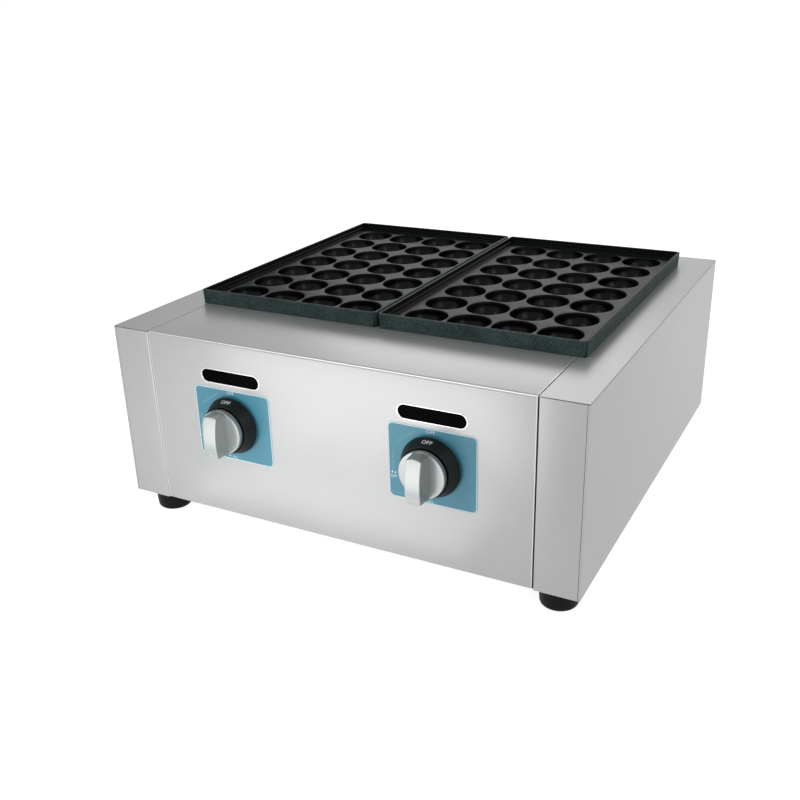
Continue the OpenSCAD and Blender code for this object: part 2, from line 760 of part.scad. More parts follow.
// The skirt: a conical shell with a hub for the stem and a round boss for the grip
module knob_skirt() to_front([0, knob_back_y, control_z]) difference() {
  rotate_extrude() polygon([
    [0, hub_back], [hub_r, hub_back], [hub_r, skirt_d - skirt_t],
    [skirt_front_r - skirt_t, skirt_d - skirt_t], [skirt_r - skirt_t, 0], [skirt_r, 0],
    [skirt_r, edge], [skirt_front_r, skirt_d - edge], [skirt_front_r - edge, skirt_d],
    [disc_boss_r, skirt_d], [disc_boss_r, disc_back], [0, disc_back]]);
  d_hole();
}

// The D-shaped hole in the hub for the end of the stem
module d_hole() difference() {
  translate([0, 0, hub_back - cut]) cylinder(r = shaft_r + running, h = shaft_l + loose + cut);
  translate([-shaft_r - cut, shaft_flat + running, hub_back - 2 * cut])
    cube([2 * (shaft_r + cut), shaft_r, shaft_l + loose + 3 * cut]);
}

module left_knob_skirt() color(rubber) translate([-control_x, 0, 0]) knob_skirt();
module right_knob_skirt() color(rubber) translate([control_x, 0, 0]) knob_skirt();

// Depth of the bar's front at a height over the knob's axis, on an arc that bows forward
function bar_front(up) = knob_d - (up + bar_arc_down) ^ 2 / (2 * bar_arc_r);

// The grip: a thick chamfered disc and a drafted bar across it, whose front bows forward
module knob_grip() to_front([0, knob_back_y, control_z]) {
  translate([0, 0, disc_back]) rotate_extrude() polygon([
    [0, 0], [disc_r, 0], [disc_r, disc_t - edge], [disc_r - edge, disc_t], [0, disc_t]]);
  intersection() {
    translate([0, 0, disc_back])
      cylinder(r1 = disc_r - loose, r2 = disc_r - bar_draft, h = knob_d + cut - disc_back);
    across(bar_w) polygon(bar_outline(disc_r + cut, disc_r - bar_foot_in));
  }
}

// The bar's outline from the side: its back, its chamfered foot, and the arc from the foot to the head
function bar_outline(head, foot) = concat(
  [[head, disc_back + edge / 2], [-head, disc_back + edge / 2], [-head, bar_front(-foot) - bar_foot_cut]],
  [for (k = [0:bar_steps]) let(up = -foot + (head + foot) * k / bar_steps) [up, bar_front(up)]]);

module left_knob_grip() color(bright_steel) translate([-control_x, 0, 0]) knob_grip();
module right_knob_grip() color(bright_steel) translate([control_x, 0, 0]) knob_grip();

module label_plate() between(-half_d - label_t, -half_d) difference() {
  translate([0, label_z])
    polygon(rounded_box([-label_w / 2, -label_h / 2], [label_w / 2, label_h / 2], label_corner_r));
  translate([0, control_z]) circle(label_hole_r);
}

module left_label_plate() color(plate_blue) translate([-control_x, 0, 0]) label_plate();
module right_label_plate() color(plate_blue) translate([control_x, 0, 0]) label_plate();

// A rectangle round the sight window, wider than it by a margin on every side
module window_rect(margin) translate([-window_w / 2 - margin, window_z - window_h / 2 - margin])
  square([window_w + 2 * margin, window_h + 2 * margin]);

module sight_glass() between(front_in, front_in + glass_t) window_rect(glass_margin);

module left_sight_glass() color([0.1, 0.12, 0.12]) translate([-control_x, 0, 0]) sight_glass();
module right_sight_glass() color([0.1, 0.12, 0.12]) translate([control_x, 0, 0]) sight_glass();

module glass_holder() difference() {
  between(front_in, front_in + glass_t + sheet_t) window_rect(holder_margin);
  between(front_in - cut, front_in + glass_t) window_rect(glass_margin + running);
  between(front_in, front_in + glass_t + sheet_t + cut) translate([0, window_z])
    slot(window_w, window_h);
}

module left_glass_holder() color(steel) translate([-control_x, 0, 0]) glass_holder();
module right_glass_holder() color(steel) translate([control_x, 0, 0]) glass_holder();

// The spark generator: a box astride the valve's barrel with a terminal behind
module piezo_igniter() to_back([0, front_in, control_z]) {
  difference() {
    translate([-piezo_w / 2, -valve_r - piezo_h, piezo_at])
      cube([piezo_w, piezo_h + piezo_sink, piezo_l]);
    cylinder(r = valve_r + running, h = barrel_end + cut);
  }
  translate([0, -valve_r - piezo_h / 2, piezo_at + piezo_l])
    cylinder(r = terminal_r, h = terminal_l);
}

module left_piezo_igniter() color("ivory") translate([-control_x, 0, 0]) piezo_igniter();
module right_piezo_igniter() color("ivory") translate([control_x, 0, 0]) piezo_igniter();

// The lead: an S of two round bends in the plane from the terminal to the electrode
module ignition_lead() {
  rise = electrode_z - lead_start_z;
  side = norm([electrode_x, rise]);
  straight = (electrode_front_y - lead_start_y) / 2 - lead_bend_r;
  translate([0, lead_start_y, lead_start_z]) rotate([0, -atan2(rise, electrode_x), 0])
    for (end = [0, 1]) translate([end * side, end * (electrode_front_y - lead_start_y), 0])
      rotate(180 * end) {
        rotate([-90, 0, 0]) cylinder(r = lead_r, h = straight);
        translate([lead_bend_r, straight, 0]) rotate(90) bend(lead_bend_r, lead_r);
        translate([lead_bend_r, straight + lead_bend_r, 0]) rotate([0, 90, 0])
          cylinder(r = lead_r, h = side / 2 - lead_bend_r);
      }
}

module left_ignition_lead() color("firebrick") translate([-control_x, 0, 0]) ignition_lead();
module right_ignition_lead() color("firebrick") translate([control_x, 0, 0]) ignition_lead();

// The electrode: a ceramic rod in a clamp on the header, with a steel tip over a tube
module spark_electrode() {
  to_back([electrode_x, electrode_front_y, electrode_z]) {
    cylinder(r = ceramic_r, h = ceramic_l);
    translate([0, 0, ceramic_l - cut]) cylinder(r = tip_r, h = tip_l + cut);
  }
  translate([electrode_x - clamp_half, header_y + header_d / 2 - clamp_half, header_top])
    cube([2 * clamp_half, 2 * clamp_half, electrode_z - header_top + clamp_half]);
}

module left_spark_electrode() color("white") translate([-control_x, 0, 0]) spark_electrode();
module right_spark_electrode() color("white") translate([control_x, 0, 0]) spark_electrode();

module manifold_pipe() color(brass)
  translate([-manifold_half_l, manifold_y, manifold_z]) rotate([0, 90, 0])
    cylinder(r = manifold_r, h = 2 * manifold_half_l);

module manifold_brackets() color(bright_steel) for (s = [0, 1]) mirror([s, 0, 0]) {
  translate([bracket_x + sheet_t / 2, 0, 0]) across(sheet_t) difference() {
    polygon(rounded_box(
      [manifold_y - bracket_half_d, base_z],
      [manifold_y + bracket_half_d, manifold_z + bracket_half_d], bracket_corner_r));
    translate([manifold_y, manifold_z]) circle(manifold_r + running);
  }
  translate([bracket_x, manifold_y - bracket_half_d + bracket_corner_r, base_z])
    cube([bracket_foot_w, 2 * (bracket_half_d - bracket_corner_r), sheet_t]);
}

// The feed: along the side, up in front and across to the manifold, with two round bends
module feed_pipe() color(brass) {
  b = feed_bend_r;
  tail_y = back_in - inlet_tail;
  translate([inlet_x, manifold_y + b, inlet_z]) rotate([-90, 0, 0])
    cylinder(r = feed_r, h = tail_y - manifold_y - b);
  translate([inlet_x, manifold_y + b, inlet_z + b]) rotate([90, 0, 90]) rotate(180) bend(b, feed_r);
  translate([inlet_x, manifold_y, inlet_z + b])
    cylinder(r = feed_r, h = manifold_z - inlet_z - 2 * b);
  translate([inlet_x + b, manifold_y, manifold_z - b]) rotate([90, 0, 0]) rotate(90) bend(b, feed_r);
  translate([inlet_x + b, manifold_y, manifold_z]) rotate([0, 90, 0])
    cylinder(r = feed_r, h = -manifold_half_l - inlet_x - b);
}

// A quarter turn about z of a pipe of radius r, its middle b from the axis
module bend(b, r) rotate_extrude(angle = 90) translate([b, 0]) circle(r);

// Points of one saw-toothed groove for the hose, from z on along the nozzle
function nozzle_groove(z) =
  [[nozzle_r, z], [nozzle_r - groove_d, z], [nozzle_r, z + groove_l]];

module gas_inlet_nozzle() color(brass) to_back([inlet_x, back_in - inlet_tail, inlet_z]) {
  face = inlet_tail + sheet_t;
  tip = nozzle_reach - inlet_flange_t;
  plain = nozzle_neck_l + nozzle_neck_r - nozzle_r;
  difference() {
    union() {
      cylinder(r = inlet_thread_r, h = face + cut);
      translate([0, 0, face]) cylinder(r = inlet_flat_r / cos(30), h = inlet_flange_t, $fn = 6);
      translate([0, 0, face + inlet_flange_t]) rotate_extrude() polygon([
        [0, -cut], [nozzle_neck_r, -cut], [nozzle_neck_r, nozzle_neck_l], [nozzle_r, plain],
        for (k = [0, 1]) each nozzle_groove(tip - groove_at + k * groove_pitch),
        [nozzle_r, tip - groove_l], [nozzle_r - groove_d, tip], [0, tip]]);
    }
    translate([0, 0, -cut])
      cylinder(r = nozzle_r - nozzle_wall, h = face + nozzle_reach + 2 * cut);
  }
}

module inlet_locknut() color(brass) to_front([inlet_x, back_in, inlet_z]) difference() {
  cylinder(r = inlet_flat_r / cos(30), h = locknut_t, $fn = 6);
  translate([0, 0, -cut]) cylinder(r = inlet_thread_r + running, h = locknut_t + 2 * cut);
}

// A rubber foot: a tapered body with a round lower edge and a recess for its screw
module foot(sx, sy) color(rubber) translate([sx * foot_x, sy * foot_y, 0]) rotate_extrude()
  difference() {
    polygon(rounded(
      [[0, 0], [foot_bottom_r, 0], [foot_top_r, foot_h], [0, foot_h]],
      [0, foot_round_r, foot_edge_r, 0]));
    translate([-cut, -cut]) square([foot_recess_r + cut, foot_h - foot_plate_t + cut]);
    translate([-cut, -cut]) square([foot_screw_r + screw_play + cut, foot_h + 2 * cut]);
  }

module front_left_foot() foot(-1, -1);
module front_right_foot() foot(1, -1);
module rear_left_foot() foot(-1, 1);
module rear_right_foot() foot(1, 1);

// Every foot's place, as children moved there
module at_feet() for (sx = [-1, 1], sy = [-1, 1]) translate([sx * foot_x, sy * foot_y, 0]) children();

module foot_screws() color(bright_steel) at_feet() translate([0, 0, foot_h - foot_plate_t]) {
  translate([0, 0, -foot_head_t]) cylinder(r = foot_head_r, h = foot_head_t);
  translate([0, 0, -cut])
    cylinder(r = foot_screw_r, h = foot_plate_t + sheet_t + foot_nut_t + screw_end + cut);
}

// A hex nut with its bottom at z = 0
module nut(flat_r, hole_r, t) difference() {
  cylinder(r = flat_r / cos(30), h = t, $fn = 6);
  translate([0, 0, -cut]) cylinder(r = hole_r, h = t + 2 * cut);
}

module foot_nuts() color(bright_steel) at_feet() translate([0, 0, floor_z])
  nut(foot_nut_flat_r, foot_screw_r + running, foot_nut_t);

module base_screws() color(bright_steel) for (p = base_screw_places)
  translate([p.x, p.y, bottom_z]) {
    translate([0, 0, -screw_head_t]) cylinder(r = screw_head_r, h = screw_head_t);
    translate([0, 0, -cut]) cylinder(r = screw_r, h = 2 * sheet_t + nut_t + screw_end + cut);
  }

module base_nuts() color(bright_steel) for (p = base_screw_places)
  translate([p.x, p.y, base_z]) nut(nut_flat_r, screw_r + running, nut_t);

module valve_screws() color(bright_steel) at_controls() for (s = [-1, 1])
  to_back([s * valve_screw_x, -half_d, control_z]) {
    translate([0, 0, -valve_head_t]) cylinder(r = screw_head_r, h = valve_head_t);
    translate([0, 0, -cut]) cylinder(r = screw_r, h = sheet_t + valve_flange_t + screw_end + cut);
  }

front_deck_panel();
back_panel();
left_side_housing();
right_side_housing();
base_plate();
centre_pan_rail();
front_heat_shield();
middle_partition();
left_pan();
right_pan();
left_burner();
right_burner();
left_burner_front_stand();
right_burner_front_stand();
left_burner_rear_stand();
right_burner_rear_stand();
left_gas_jet();
right_gas_jet();
left_valve_body();
right_valve_body();
left_valve_plug();
right_valve_plug();
left_valve_spring();
right_valve_spring();
left_valve_stem();
right_valve_stem();
left_knob_skirt();
right_knob_skirt();
left_knob_grip();
right_knob_grip();
left_label_plate();
right_label_plate();
left_sight_glass();
right_sight_glass();
left_glass_holder();
right_glass_holder();
left_piezo_igniter();
right_piezo_igniter();
left_ignition_lead();
right_ignition_lead();
left_spark_electrode();
right_spark_electrode();
manifold_pipe();
manifold_brackets();
feed_pipe();
gas_inlet_nozzle();
inlet_locknut();
front_left_foot();
front_right_foot();
rear_left_foot();
rear_right_foot();
foot_screws();
foot_nuts();
base_screws();
base_nuts();
valve_screws();
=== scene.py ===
"""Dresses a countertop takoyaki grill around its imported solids.

The solids give every place and size: two lift-off cast pans over a body of folded stainless sheet, two
push-and-turn gas knobs on printed plates, sight windows over them, rubber feet and the gas parts inside.
"""

from __future__ import annotations

import functools
import logging
import math
from dataclasses import dataclass, field
from enum import Enum

import bmesh
import bpy
import numpy as np
from mathutils import Matrix, Vector


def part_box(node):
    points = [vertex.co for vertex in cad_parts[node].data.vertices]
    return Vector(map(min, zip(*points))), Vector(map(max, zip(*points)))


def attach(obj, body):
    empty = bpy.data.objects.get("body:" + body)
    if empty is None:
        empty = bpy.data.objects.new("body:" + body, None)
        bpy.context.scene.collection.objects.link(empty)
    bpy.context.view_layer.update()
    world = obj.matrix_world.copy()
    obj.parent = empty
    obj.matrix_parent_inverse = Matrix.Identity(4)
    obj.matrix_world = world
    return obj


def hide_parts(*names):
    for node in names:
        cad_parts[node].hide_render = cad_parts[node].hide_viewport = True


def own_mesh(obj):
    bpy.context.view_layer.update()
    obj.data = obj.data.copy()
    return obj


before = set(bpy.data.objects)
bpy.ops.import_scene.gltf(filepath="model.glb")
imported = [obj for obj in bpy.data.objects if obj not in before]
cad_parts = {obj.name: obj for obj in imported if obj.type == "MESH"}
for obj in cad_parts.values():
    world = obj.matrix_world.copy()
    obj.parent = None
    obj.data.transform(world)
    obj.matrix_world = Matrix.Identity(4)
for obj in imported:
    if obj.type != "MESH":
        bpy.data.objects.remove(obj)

LOG = logging.getLogger("takoyaki_grill")
CHASSIS = "chassis"
MM = 0.001
WELD = 0.001 * MM  # Points nearer to each other than this become one.
SLIVER = 0.0001 * MM  # Edges shorter than this are taken out.
FLAT_ANGLE = math.radians(0.4)  # Triangles of a copied solid that bend less than this become one face.
CAPITAL_SHARE = 0.72  # A capital letter's height as a share of its text's size.
Pair = tuple[float, float]
Triple = tuple[float, float, float]
Colour = tuple[float, float, float, float]
WHITE = (1.0, 1.0, 1.0, 1.0)
BLACK = (0.0, 0.0, 0.0, 1.0)


class Side(Enum):
    """Which half of the grill a piece belongs to."""

    LEFT = "left"
    RIGHT = "right"

    @property
    def sign(self) -> int:
        """-1 on the left and 1 on the right."""
        return -1 if self is Side.LEFT else 1

    def node(self, name: str) -> str:
        """A node's name on this side."""
        return f"{self.value}_{name}"


class Facing(Enum):
    """Where a shape's axis points, as the directions of its across, over and along."""

    UP = ((1, 0, 0), (0, 1, 0), (0, 0, 1))
    FRONT = ((1, 0, 0), (0, 0, 1), (0, -1, 0))

    def turn(self, points: np.ndarray) -> np.ndarray:
        """Points drawn across, over and along the axis, as x, y and z."""
        return points @ np.array(self.value, float)


# Surfaces


def ways(angle: np.ndarray) -> np.ndarray:
    """The directions at these angles in the plane, as cosine and sine."""
    return np.stack([np.cos(angle), np.sin(angle)], axis=-1)


def lifted(plane: np.ndarray, height: np.ndarray | float) -> np.ndarray:
    """Points in the plane as points in space, each with its height."""
    return np.concatenate([plane, np.broadcast_to(height, plane.shape[:-1])[..., None]], axis=-1)


@dataclass
class Shell:
    """Points and faces of a surface, in metres.

    Attributes:
        points: One row of x, y and z a point.
        quads: Four point numbers a face. Where two of them are one place, the face becomes a triangle.
        caps: Faces with any number of corners.
    """

    points: np.ndarray
    quads: np.ndarray = field(default_factory=lambda: np.zeros((0, 4), int))
    caps: list[list[int]] = field(default_factory=list)

    @staticmethod
    def grid(points: np.ndarray, ring: bool = False) -> Shell:
        """A sheet of quads over a grid of points.

        Args:
            points: Rows by columns by three.
            ring: Whether the last column joins the first.

        Returns:
            The sheet.
        """
        rows, columns = points.shape[:2]
        number = np.arange(rows * columns).reshape(rows, columns)
        if ring:
            number = np.concatenate([number, number[:, :1]], axis=1)
        quads = np.stack([number[:-1, :-1], number[:-1, 1:], number[1:, 1:], number[1:, :-1]], axis=-1)
        return Shell(points.reshape(-1, 3), quads.reshape(-1, 4))

    @staticmethod
    def prism(outline: np.ndarray, low: float, high: float, facing: Facing = Facing.UP) -> Shell:
        """An outline drawn out straight, closed at both ends.

        Args:
            outline: Points of the outline in the plane, in order.
            low: Where the prism starts along its axis.
            high: Where it ends.
            facing: Which way the axis points.

        Returns:
            The closed prism.
        """
        count = len(outline)
        ends = lifted(np.stack([outline, outline]), np.array([[low], [high]]))
        shell = Shell.grid(facing.turn(ends), ring=True)
        shell.caps = [list(range(count)), list(range(count, 2 * count))]
        return shell

    @staticmethod
    def turned(profile: np.ndarray, at: Vector, facing: Facing, steps: int = 96) -> Shell:
        """A profile turned about an axis: each of its points runs round a circle of its radius.

        Args:
            profile: Rows of radius and height along the axis.
            at: The axis's foot.
            facing: Which way the axis points.
            steps: Steps round the axis.

        Returns:
            The turned surface.
        """
        around = ways(np.arange(steps) * 2 * np.pi / steps)
        circles = lifted(profile[:, None, :1] * around, profile[:, 1:])
        return Shell.grid(facing.turn(circles) + np.array(at), ring=True)

    def __add__(self, other: Shell) -> Shell:
        """Both surfaces as one, with the other's point numbers after this one's.

        Args:
            other: The other surface.

        Returns:
            Both.
        """
        shift = len(self.points)
        return Shell(
            np.concatenate([self.points, other.points]),
            np.concatenate([self.quads, other.quads + shift]),
            self.caps + [[i + shift for i in cap] for cap in other.caps],
        )

    def mesh(self, name: str) -> bpy.types.Mesh:
        """The surface as a welded mesh whose faces point outward.

        Args:
            name: The mesh's name.

        Returns:
            The mesh.
        """
        mesh = bpy.data.meshes.new(name)
        mesh.from_pydata(self.points.tolist(), [], self.quads.tolist() + self.caps)
        return cleaned(mesh)


def cleaned(mesh: bpy.types.Mesh, flat: bool = False) -> bpy.types.Mesh:
    """Welds a mesh and turns its faces outward.

    Args:
        mesh: The mesh, which is changed.
        flat: Whether triangles that lie in one plane are joined into one face.

    Returns:
        The same mesh.
    """
    work = bmesh.new()
    work.from_mesh(mesh)
    bmesh.ops.remove_doubles(work, verts=work.verts, dist=WELD)
    bmesh.ops.dissolve_degenerate(work, edges=work.edges, dist=SLIVER)
    if flat:
        bmesh.ops.dissolve_limit(work, angle_limit=FLAT_ANGLE, verts=work.verts, edges=work.edges)
    bmesh.ops.recalc_face_normals(work, faces=work.faces)
    work.to_mesh(mesh)
    work.free()
    return mesh


def rounded(corners: list[Triple] | np.ndarray, steps: int = 5) -> np.ndarray:
    """An outline whose corners are arcs, or an open path where its two ends have no radius.

    Args:
        corners: Each corner's two coordinates and its radius, 0 where it stays sharp, in order.
        steps: Steps on each arc.

    Returns:
        The points.
    """
    points, radii = np.split(np.array(corners, float), [2], axis=1)
    made = []
    for before, at, after, radius in zip(np.roll(points, 1, 0), points, np.roll(points, -1, 0), radii[:, 0]):
        made.append(corner_arc(before, at, after, radius, steps) if radius > 0 else at[None])
    return np.concatenate(made)


def corner_arc(
    before: np.ndarray, at: np.ndarray, after: np.ndarray, radius: float, steps: int
) -> np.ndarray:
    """The arc that rounds one corner.

    It touches the two sides at the radius over the tangent of half the corner's angle.

    Args:
        before: The point before the corner.
        at: The corner.
        after: The point after it.
        radius: The arc's radius.
        steps: Steps on the arc.

    Returns:
        The arc's points.
    """
    u = (before - at) / np.linalg.norm(before - at)
    v = (after - at) / np.linalg.norm(after - at)
    half = math.acos(max(-1.0, min(1.0, float(u @ v)))) / 2
    middle = at + (u + v) / np.linalg.norm(u + v) * radius / math.sin(half)
    start = at + u * radius / math.tan(half) - middle
    end = at + v * radius / math.tan(half) - middle
    first = math.atan2(start[1], start[0])
    swing = (math.atan2(end[1], end[0]) - first + math.pi) % (2 * math.pi) - math.pi
    return middle + radius * ways(first + swing * np.linspace(0, 1, steps + 1))


def rounded_box(across: Pair, up: Pair, radius: float, steps: int = 5) -> np.ndarray:
    """A rectangle between two places across and two places up, with rounded corners."""
    places = ((0, 0), (1, 0), (1, 1), (0, 1))
    return rounded([(across[i], up[j], radius) for i, j in places], steps)


def slot_rings(width: float, height: float, outs: np.ndarray, steps: int = 24) -> np.ndarray:
    """Rings round a slot with half-round ends, about its middle.

    A ring point is the middle of its half-round end plus the way out there times the ring's radius, which is
    half of the slot's height and what the ring lies outside it.

    Args:
        width: The slot's width from end to end.
        height: Its height from side to side.
        outs: How far each ring lies outside the slot.
        steps: Steps on each end.

    Returns:
        Rings by points by two.
    """
    half_turn = np.linspace(-np.pi / 2, np.pi / 2, steps + 1)
    way = ways(np.concatenate([half_turn, half_turn + np.pi]))
    end = np.repeat([(width - height) / 2, (height - width) / 2], steps + 1)
    middle = np.stack([end, np.zeros_like(end)], axis=-1)
    return middle + way * (height / 2 + outs)[:, None, None]


def square(share: np.ndarray) -> np.ndarray:
    """The square from -1 to 1: each side, run through by the share from -1 to 1, by points by two."""
    one = np.ones_like(share)
    return np.array(((share, -one), (one, share), (-share, one), (-one, -share))).swapaxes(1, 2)


# Shaders


def linear(red: float, green: float, blue: float) -> Colour:
    """A display colour, 0 to 255 a channel, as linear light with full alpha."""
    shares = (value / 255 for value in (red, green, blue))
    return (*(s / 12.92 if s <= 0.04045 else ((s + 0.055) / 1.055) ** 2.4 for s in shares), 1.0)


def dimmed(colour: Colour, share: float) -> Colour:
    """A colour brought down to a share of its light."""
    return (*(channel * share for channel in colour[:3]), 1.0)


@dataclass(frozen=True)
class Link:
    """A shader socket that takes part in arithmetic."""

    graph: Graph
    socket: bpy.types.NodeSocket

    def _math(self, operation: str, *values: Link | float) -> Link:
        """A Math node on these values, in this order."""
        return self.graph.add("ShaderNodeMath", {"operation": operation}, dict(enumerate(values)))

    def __add__(self, other: Link | float) -> Link:
        """This plus the other."""
        return self._math("ADD", self, other)

    def __sub__(self, other: Link | float) -> Link:
        """This less the other."""
        return self._math("SUBTRACT", self, other)

    def __rsub__(self, other: Link | float) -> Link:
        """The other less this."""
        return self._math("SUBTRACT", other, self)

    def __mul__(self, other: Link | float) -> Link:
        """This times the other."""
        return self._math("MULTIPLY", self, other)

    def __pow__(self, other: Link | float) -> Link:
        """This to the power of the other."""
        return self._math("POWER", self, other)

    def __rpow__(self, other: Link | float) -> Link:
        """The other to the power of this."""
        return self._math("POWER", other, self)

    __radd__ = __add__
    __rmul__ = __mul__

    def most(self, other: Link | float) -> Link:
        """The larger of this and the other."""
        return self._math("MAXIMUM", self, other)

    def least(self, other: Link | float) -> Link:
        """The smaller of this and the other."""
        return self._math("MINIMUM", self, other)

    def size(self) -> Link:
        """This without its sign."""
        return self._math("ABSOLUTE", self)

    def step(self, low: float, high: float) -> Link:
        """0 up to low, 1 from high on, and a smooth rise between."""
        inputs = {"Value": self, "From Min": low, "From Max": high}
        return self.graph.add("ShaderNodeMapRange", {"interpolation_type": "SMOOTHSTEP"}, inputs)

    def patchy(self) -> Link:
        """Noise from 0 to 1 with more of both ends."""
        return self.step(0.3, 0.7)

    def about(self, middle: float, swing: float) -> Link:
        """0 to 1 brought to the middle less the swing, up to the middle plus the swing."""
        return self * (2 * swing) + (middle - swing)


class Graph:
    """The node tree of a material or a world, written as expressions."""

    def __init__(self, owner: bpy.types.Material | bpy.types.World) -> None:
        """Empties the owner's tree and starts it with its coordinates.

        Args:
            owner: The material or world.
        """
        owner.use_nodes = True
        self.owner = owner
        self.tree = owner.node_tree
        self.tree.nodes.clear()
        self.coordinates = self.add("ShaderNodeTexCoord", out="Object")

    @staticmethod
    def material(name: str) -> Graph:
        """The graph of a new material."""
        return Graph(bpy.data.materials.new(name))

    def node(self, kind: str, settings: dict | None = None, inputs: dict | None = None) -> bpy.types.Node:
        """Makes a node, sets its settings, and then its sockets' values or links.

        Args:
            kind: The node's type.
            settings: The node's own settings, by name.
            inputs: Values or links of its sockets, by name or number.

        Returns:
            The node.
        """
        made = self.tree.nodes.new(kind)
        for name, value in (settings or {}).items():
            setattr(made, name, value)
        for name, value in (inputs or {}).items():
            socket = made.inputs[name]
            if isinstance(value, Link):
                self.tree.links.new(value.socket, socket)
            else:
                socket.default_value = value
        return made

    def add(
        self, kind: str, settings: dict | None = None, inputs: dict | None = None, out: str | int = 0
    ) -> Link:
        """Makes a node as the method node does, and gives one of its outputs by name or number."""
        return Link(self, self.node(kind, settings, inputs).outputs[out])

    def axes(self) -> tuple[Link, Link, Link]:
        """The piece's x, y and z in metres."""
        split = self.node("ShaderNodeSeparateXYZ", None, {0: self.coordinates})
        return tuple(Link(self, split.outputs[i]) for i in range(3))

    def noise(self, grain: float, detail: float, rough: float, scale: Triple = (1, 1, 1)) -> Link:
        """Cloudy noise from 0 to 1 on the piece's own coordinates.

        Args:
            grain: The size of its largest blots, in metres.
            detail: How many finer layers it has.
            rough: How strong they are.
            scale: A stretch a direction.

        Returns:
            The noise.
        """
        place = self.add("ShaderNodeMapping", None, {"Vector": self.coordinates, "Scale": scale})
        inputs = {"Vector": place, "Scale": 1 / grain, "Detail": detail, "Roughness": rough}
        return self.add("ShaderNodeTexNoise", None, inputs)

    def blend(self, share: Link | float, first: tuple | Link, second: tuple | Link) -> Link:
        """The first colour where the share is 0 and the second where it is 1."""
        return self.add("ShaderNodeMix", {"data_type": "RGBA"}, {0: share, 6: first, 7: second}, 2)

    def bump(self, height: Link, depth: float, strength: float) -> Link:
        """A normal from a height of 0 to 1 that stands for a depth in metres."""
        inputs = {"Height": height, "Distance": depth, "Strength": strength}
        return self.add("ShaderNodeBump", None, inputs)

    def finish(self, inputs: dict) -> bpy.types.Material:
        """Ends the tree in a Principled shader.

        Args:
            inputs: Values or links of the shader's sockets, by name.

        Returns:
            The material.
        """
        shader = self.add("ShaderNodeBsdfPrincipled", None, inputs)
        self.node("ShaderNodeOutputMaterial", None, {"Surface": shader})
        return self.owner


@dataclass(frozen=True)
class SatinSheet:
    """Stainless sheet with a fine satin grain and faint clouds from handling. Where a bend is given, it also
    has a painted highlight on that bend and on the sheet's sides.

    Attributes:
        name: The material's name.
        stretch: How far the grain is stretched a direction. A small number runs the grain along it.
        colour: The metal's colour at its brightest.
        roughness: The middle roughness.
        metallic: How much of it mirrors. The rest stands for the light that the fine grain scatters.
        grain: The size of the grain across it.
        cloud: The size of the clouds.
        bend: Half of the sheet's width, and the y and z of its bend, or None where the bend and the sides
            get no painted highlight.
        bright: The colour of the painted highlight.
        bend_w: Where the painted highlight on the bend starts to fade and where it ends, from its corner.
        side_w: The same for the sides, from the edge.
    """

    name: str
    stretch: Triple
    colour: Colour = (0.475, 0.476, 0.475, 1.0)
    roughness: float = 0.34
    metallic: float = 0.5
    grain: float = 0.9 * MM
    cloud: float = 70 * MM
    bend: Triple | None = None
    bright: Colour = (0.86, 0.86, 0.86, 1.0)
    bend_w: Pair = (0.7 * MM, 1.3 * MM)
    side_w: Pair = (0.4 * MM, 0.9 * MM)

    def painted_highlight(self, graph: Graph) -> Link:
        """Where a painted highlight lies, in place of the light that the bend and the sheet's side edges
        catch.

        Args:
            graph: The material's graph.

        Returns:
            1 on the bend, less on the sheet's two sides, and 0 elsewhere.
        """
        half, front, top = self.bend
        x, y, z = graph.axes()
        off_bend = (y - front).size().most((z - top).size())
        on_side = 1.0 - (half - x.size()).step(*self.side_w)
        return (1.0 - off_bend.step(*self.bend_w)).most(on_side * 0.8)

    def build(self) -> bpy.types.Material:
        """Grain and clouds give the tone, the roughness and the surface, under the painted highlight on the
        bend and the sides where one is given.

        Returns:
            The material.
        """
        graph = Graph.material(self.name)
        grain = graph.noise(self.grain, 2, 0.6, self.stretch)
        cloud = graph.noise(self.cloud, 3, 0.55)
        tone = graph.blend(cloud.patchy() * 0.45 + grain * 0.3, dimmed(self.colour, 0.9), self.colour)
        rough = cloud.about(self.roughness, 0.04) + (grain - 0.5) * 0.08
        if self.bend:
            # Painted highlight: the bend and the side edges are blended toward a pale colour in place of the
            # light that they catch.
            tone = graph.blend(self.painted_highlight(graph), tone, self.bright)
        return graph.finish({
            "Base Color": tone,
            "Metallic": self.metallic,
            "Roughness": rough,
            "Normal": graph.bump(grain, 0.02 * MM, 0.35),
        })


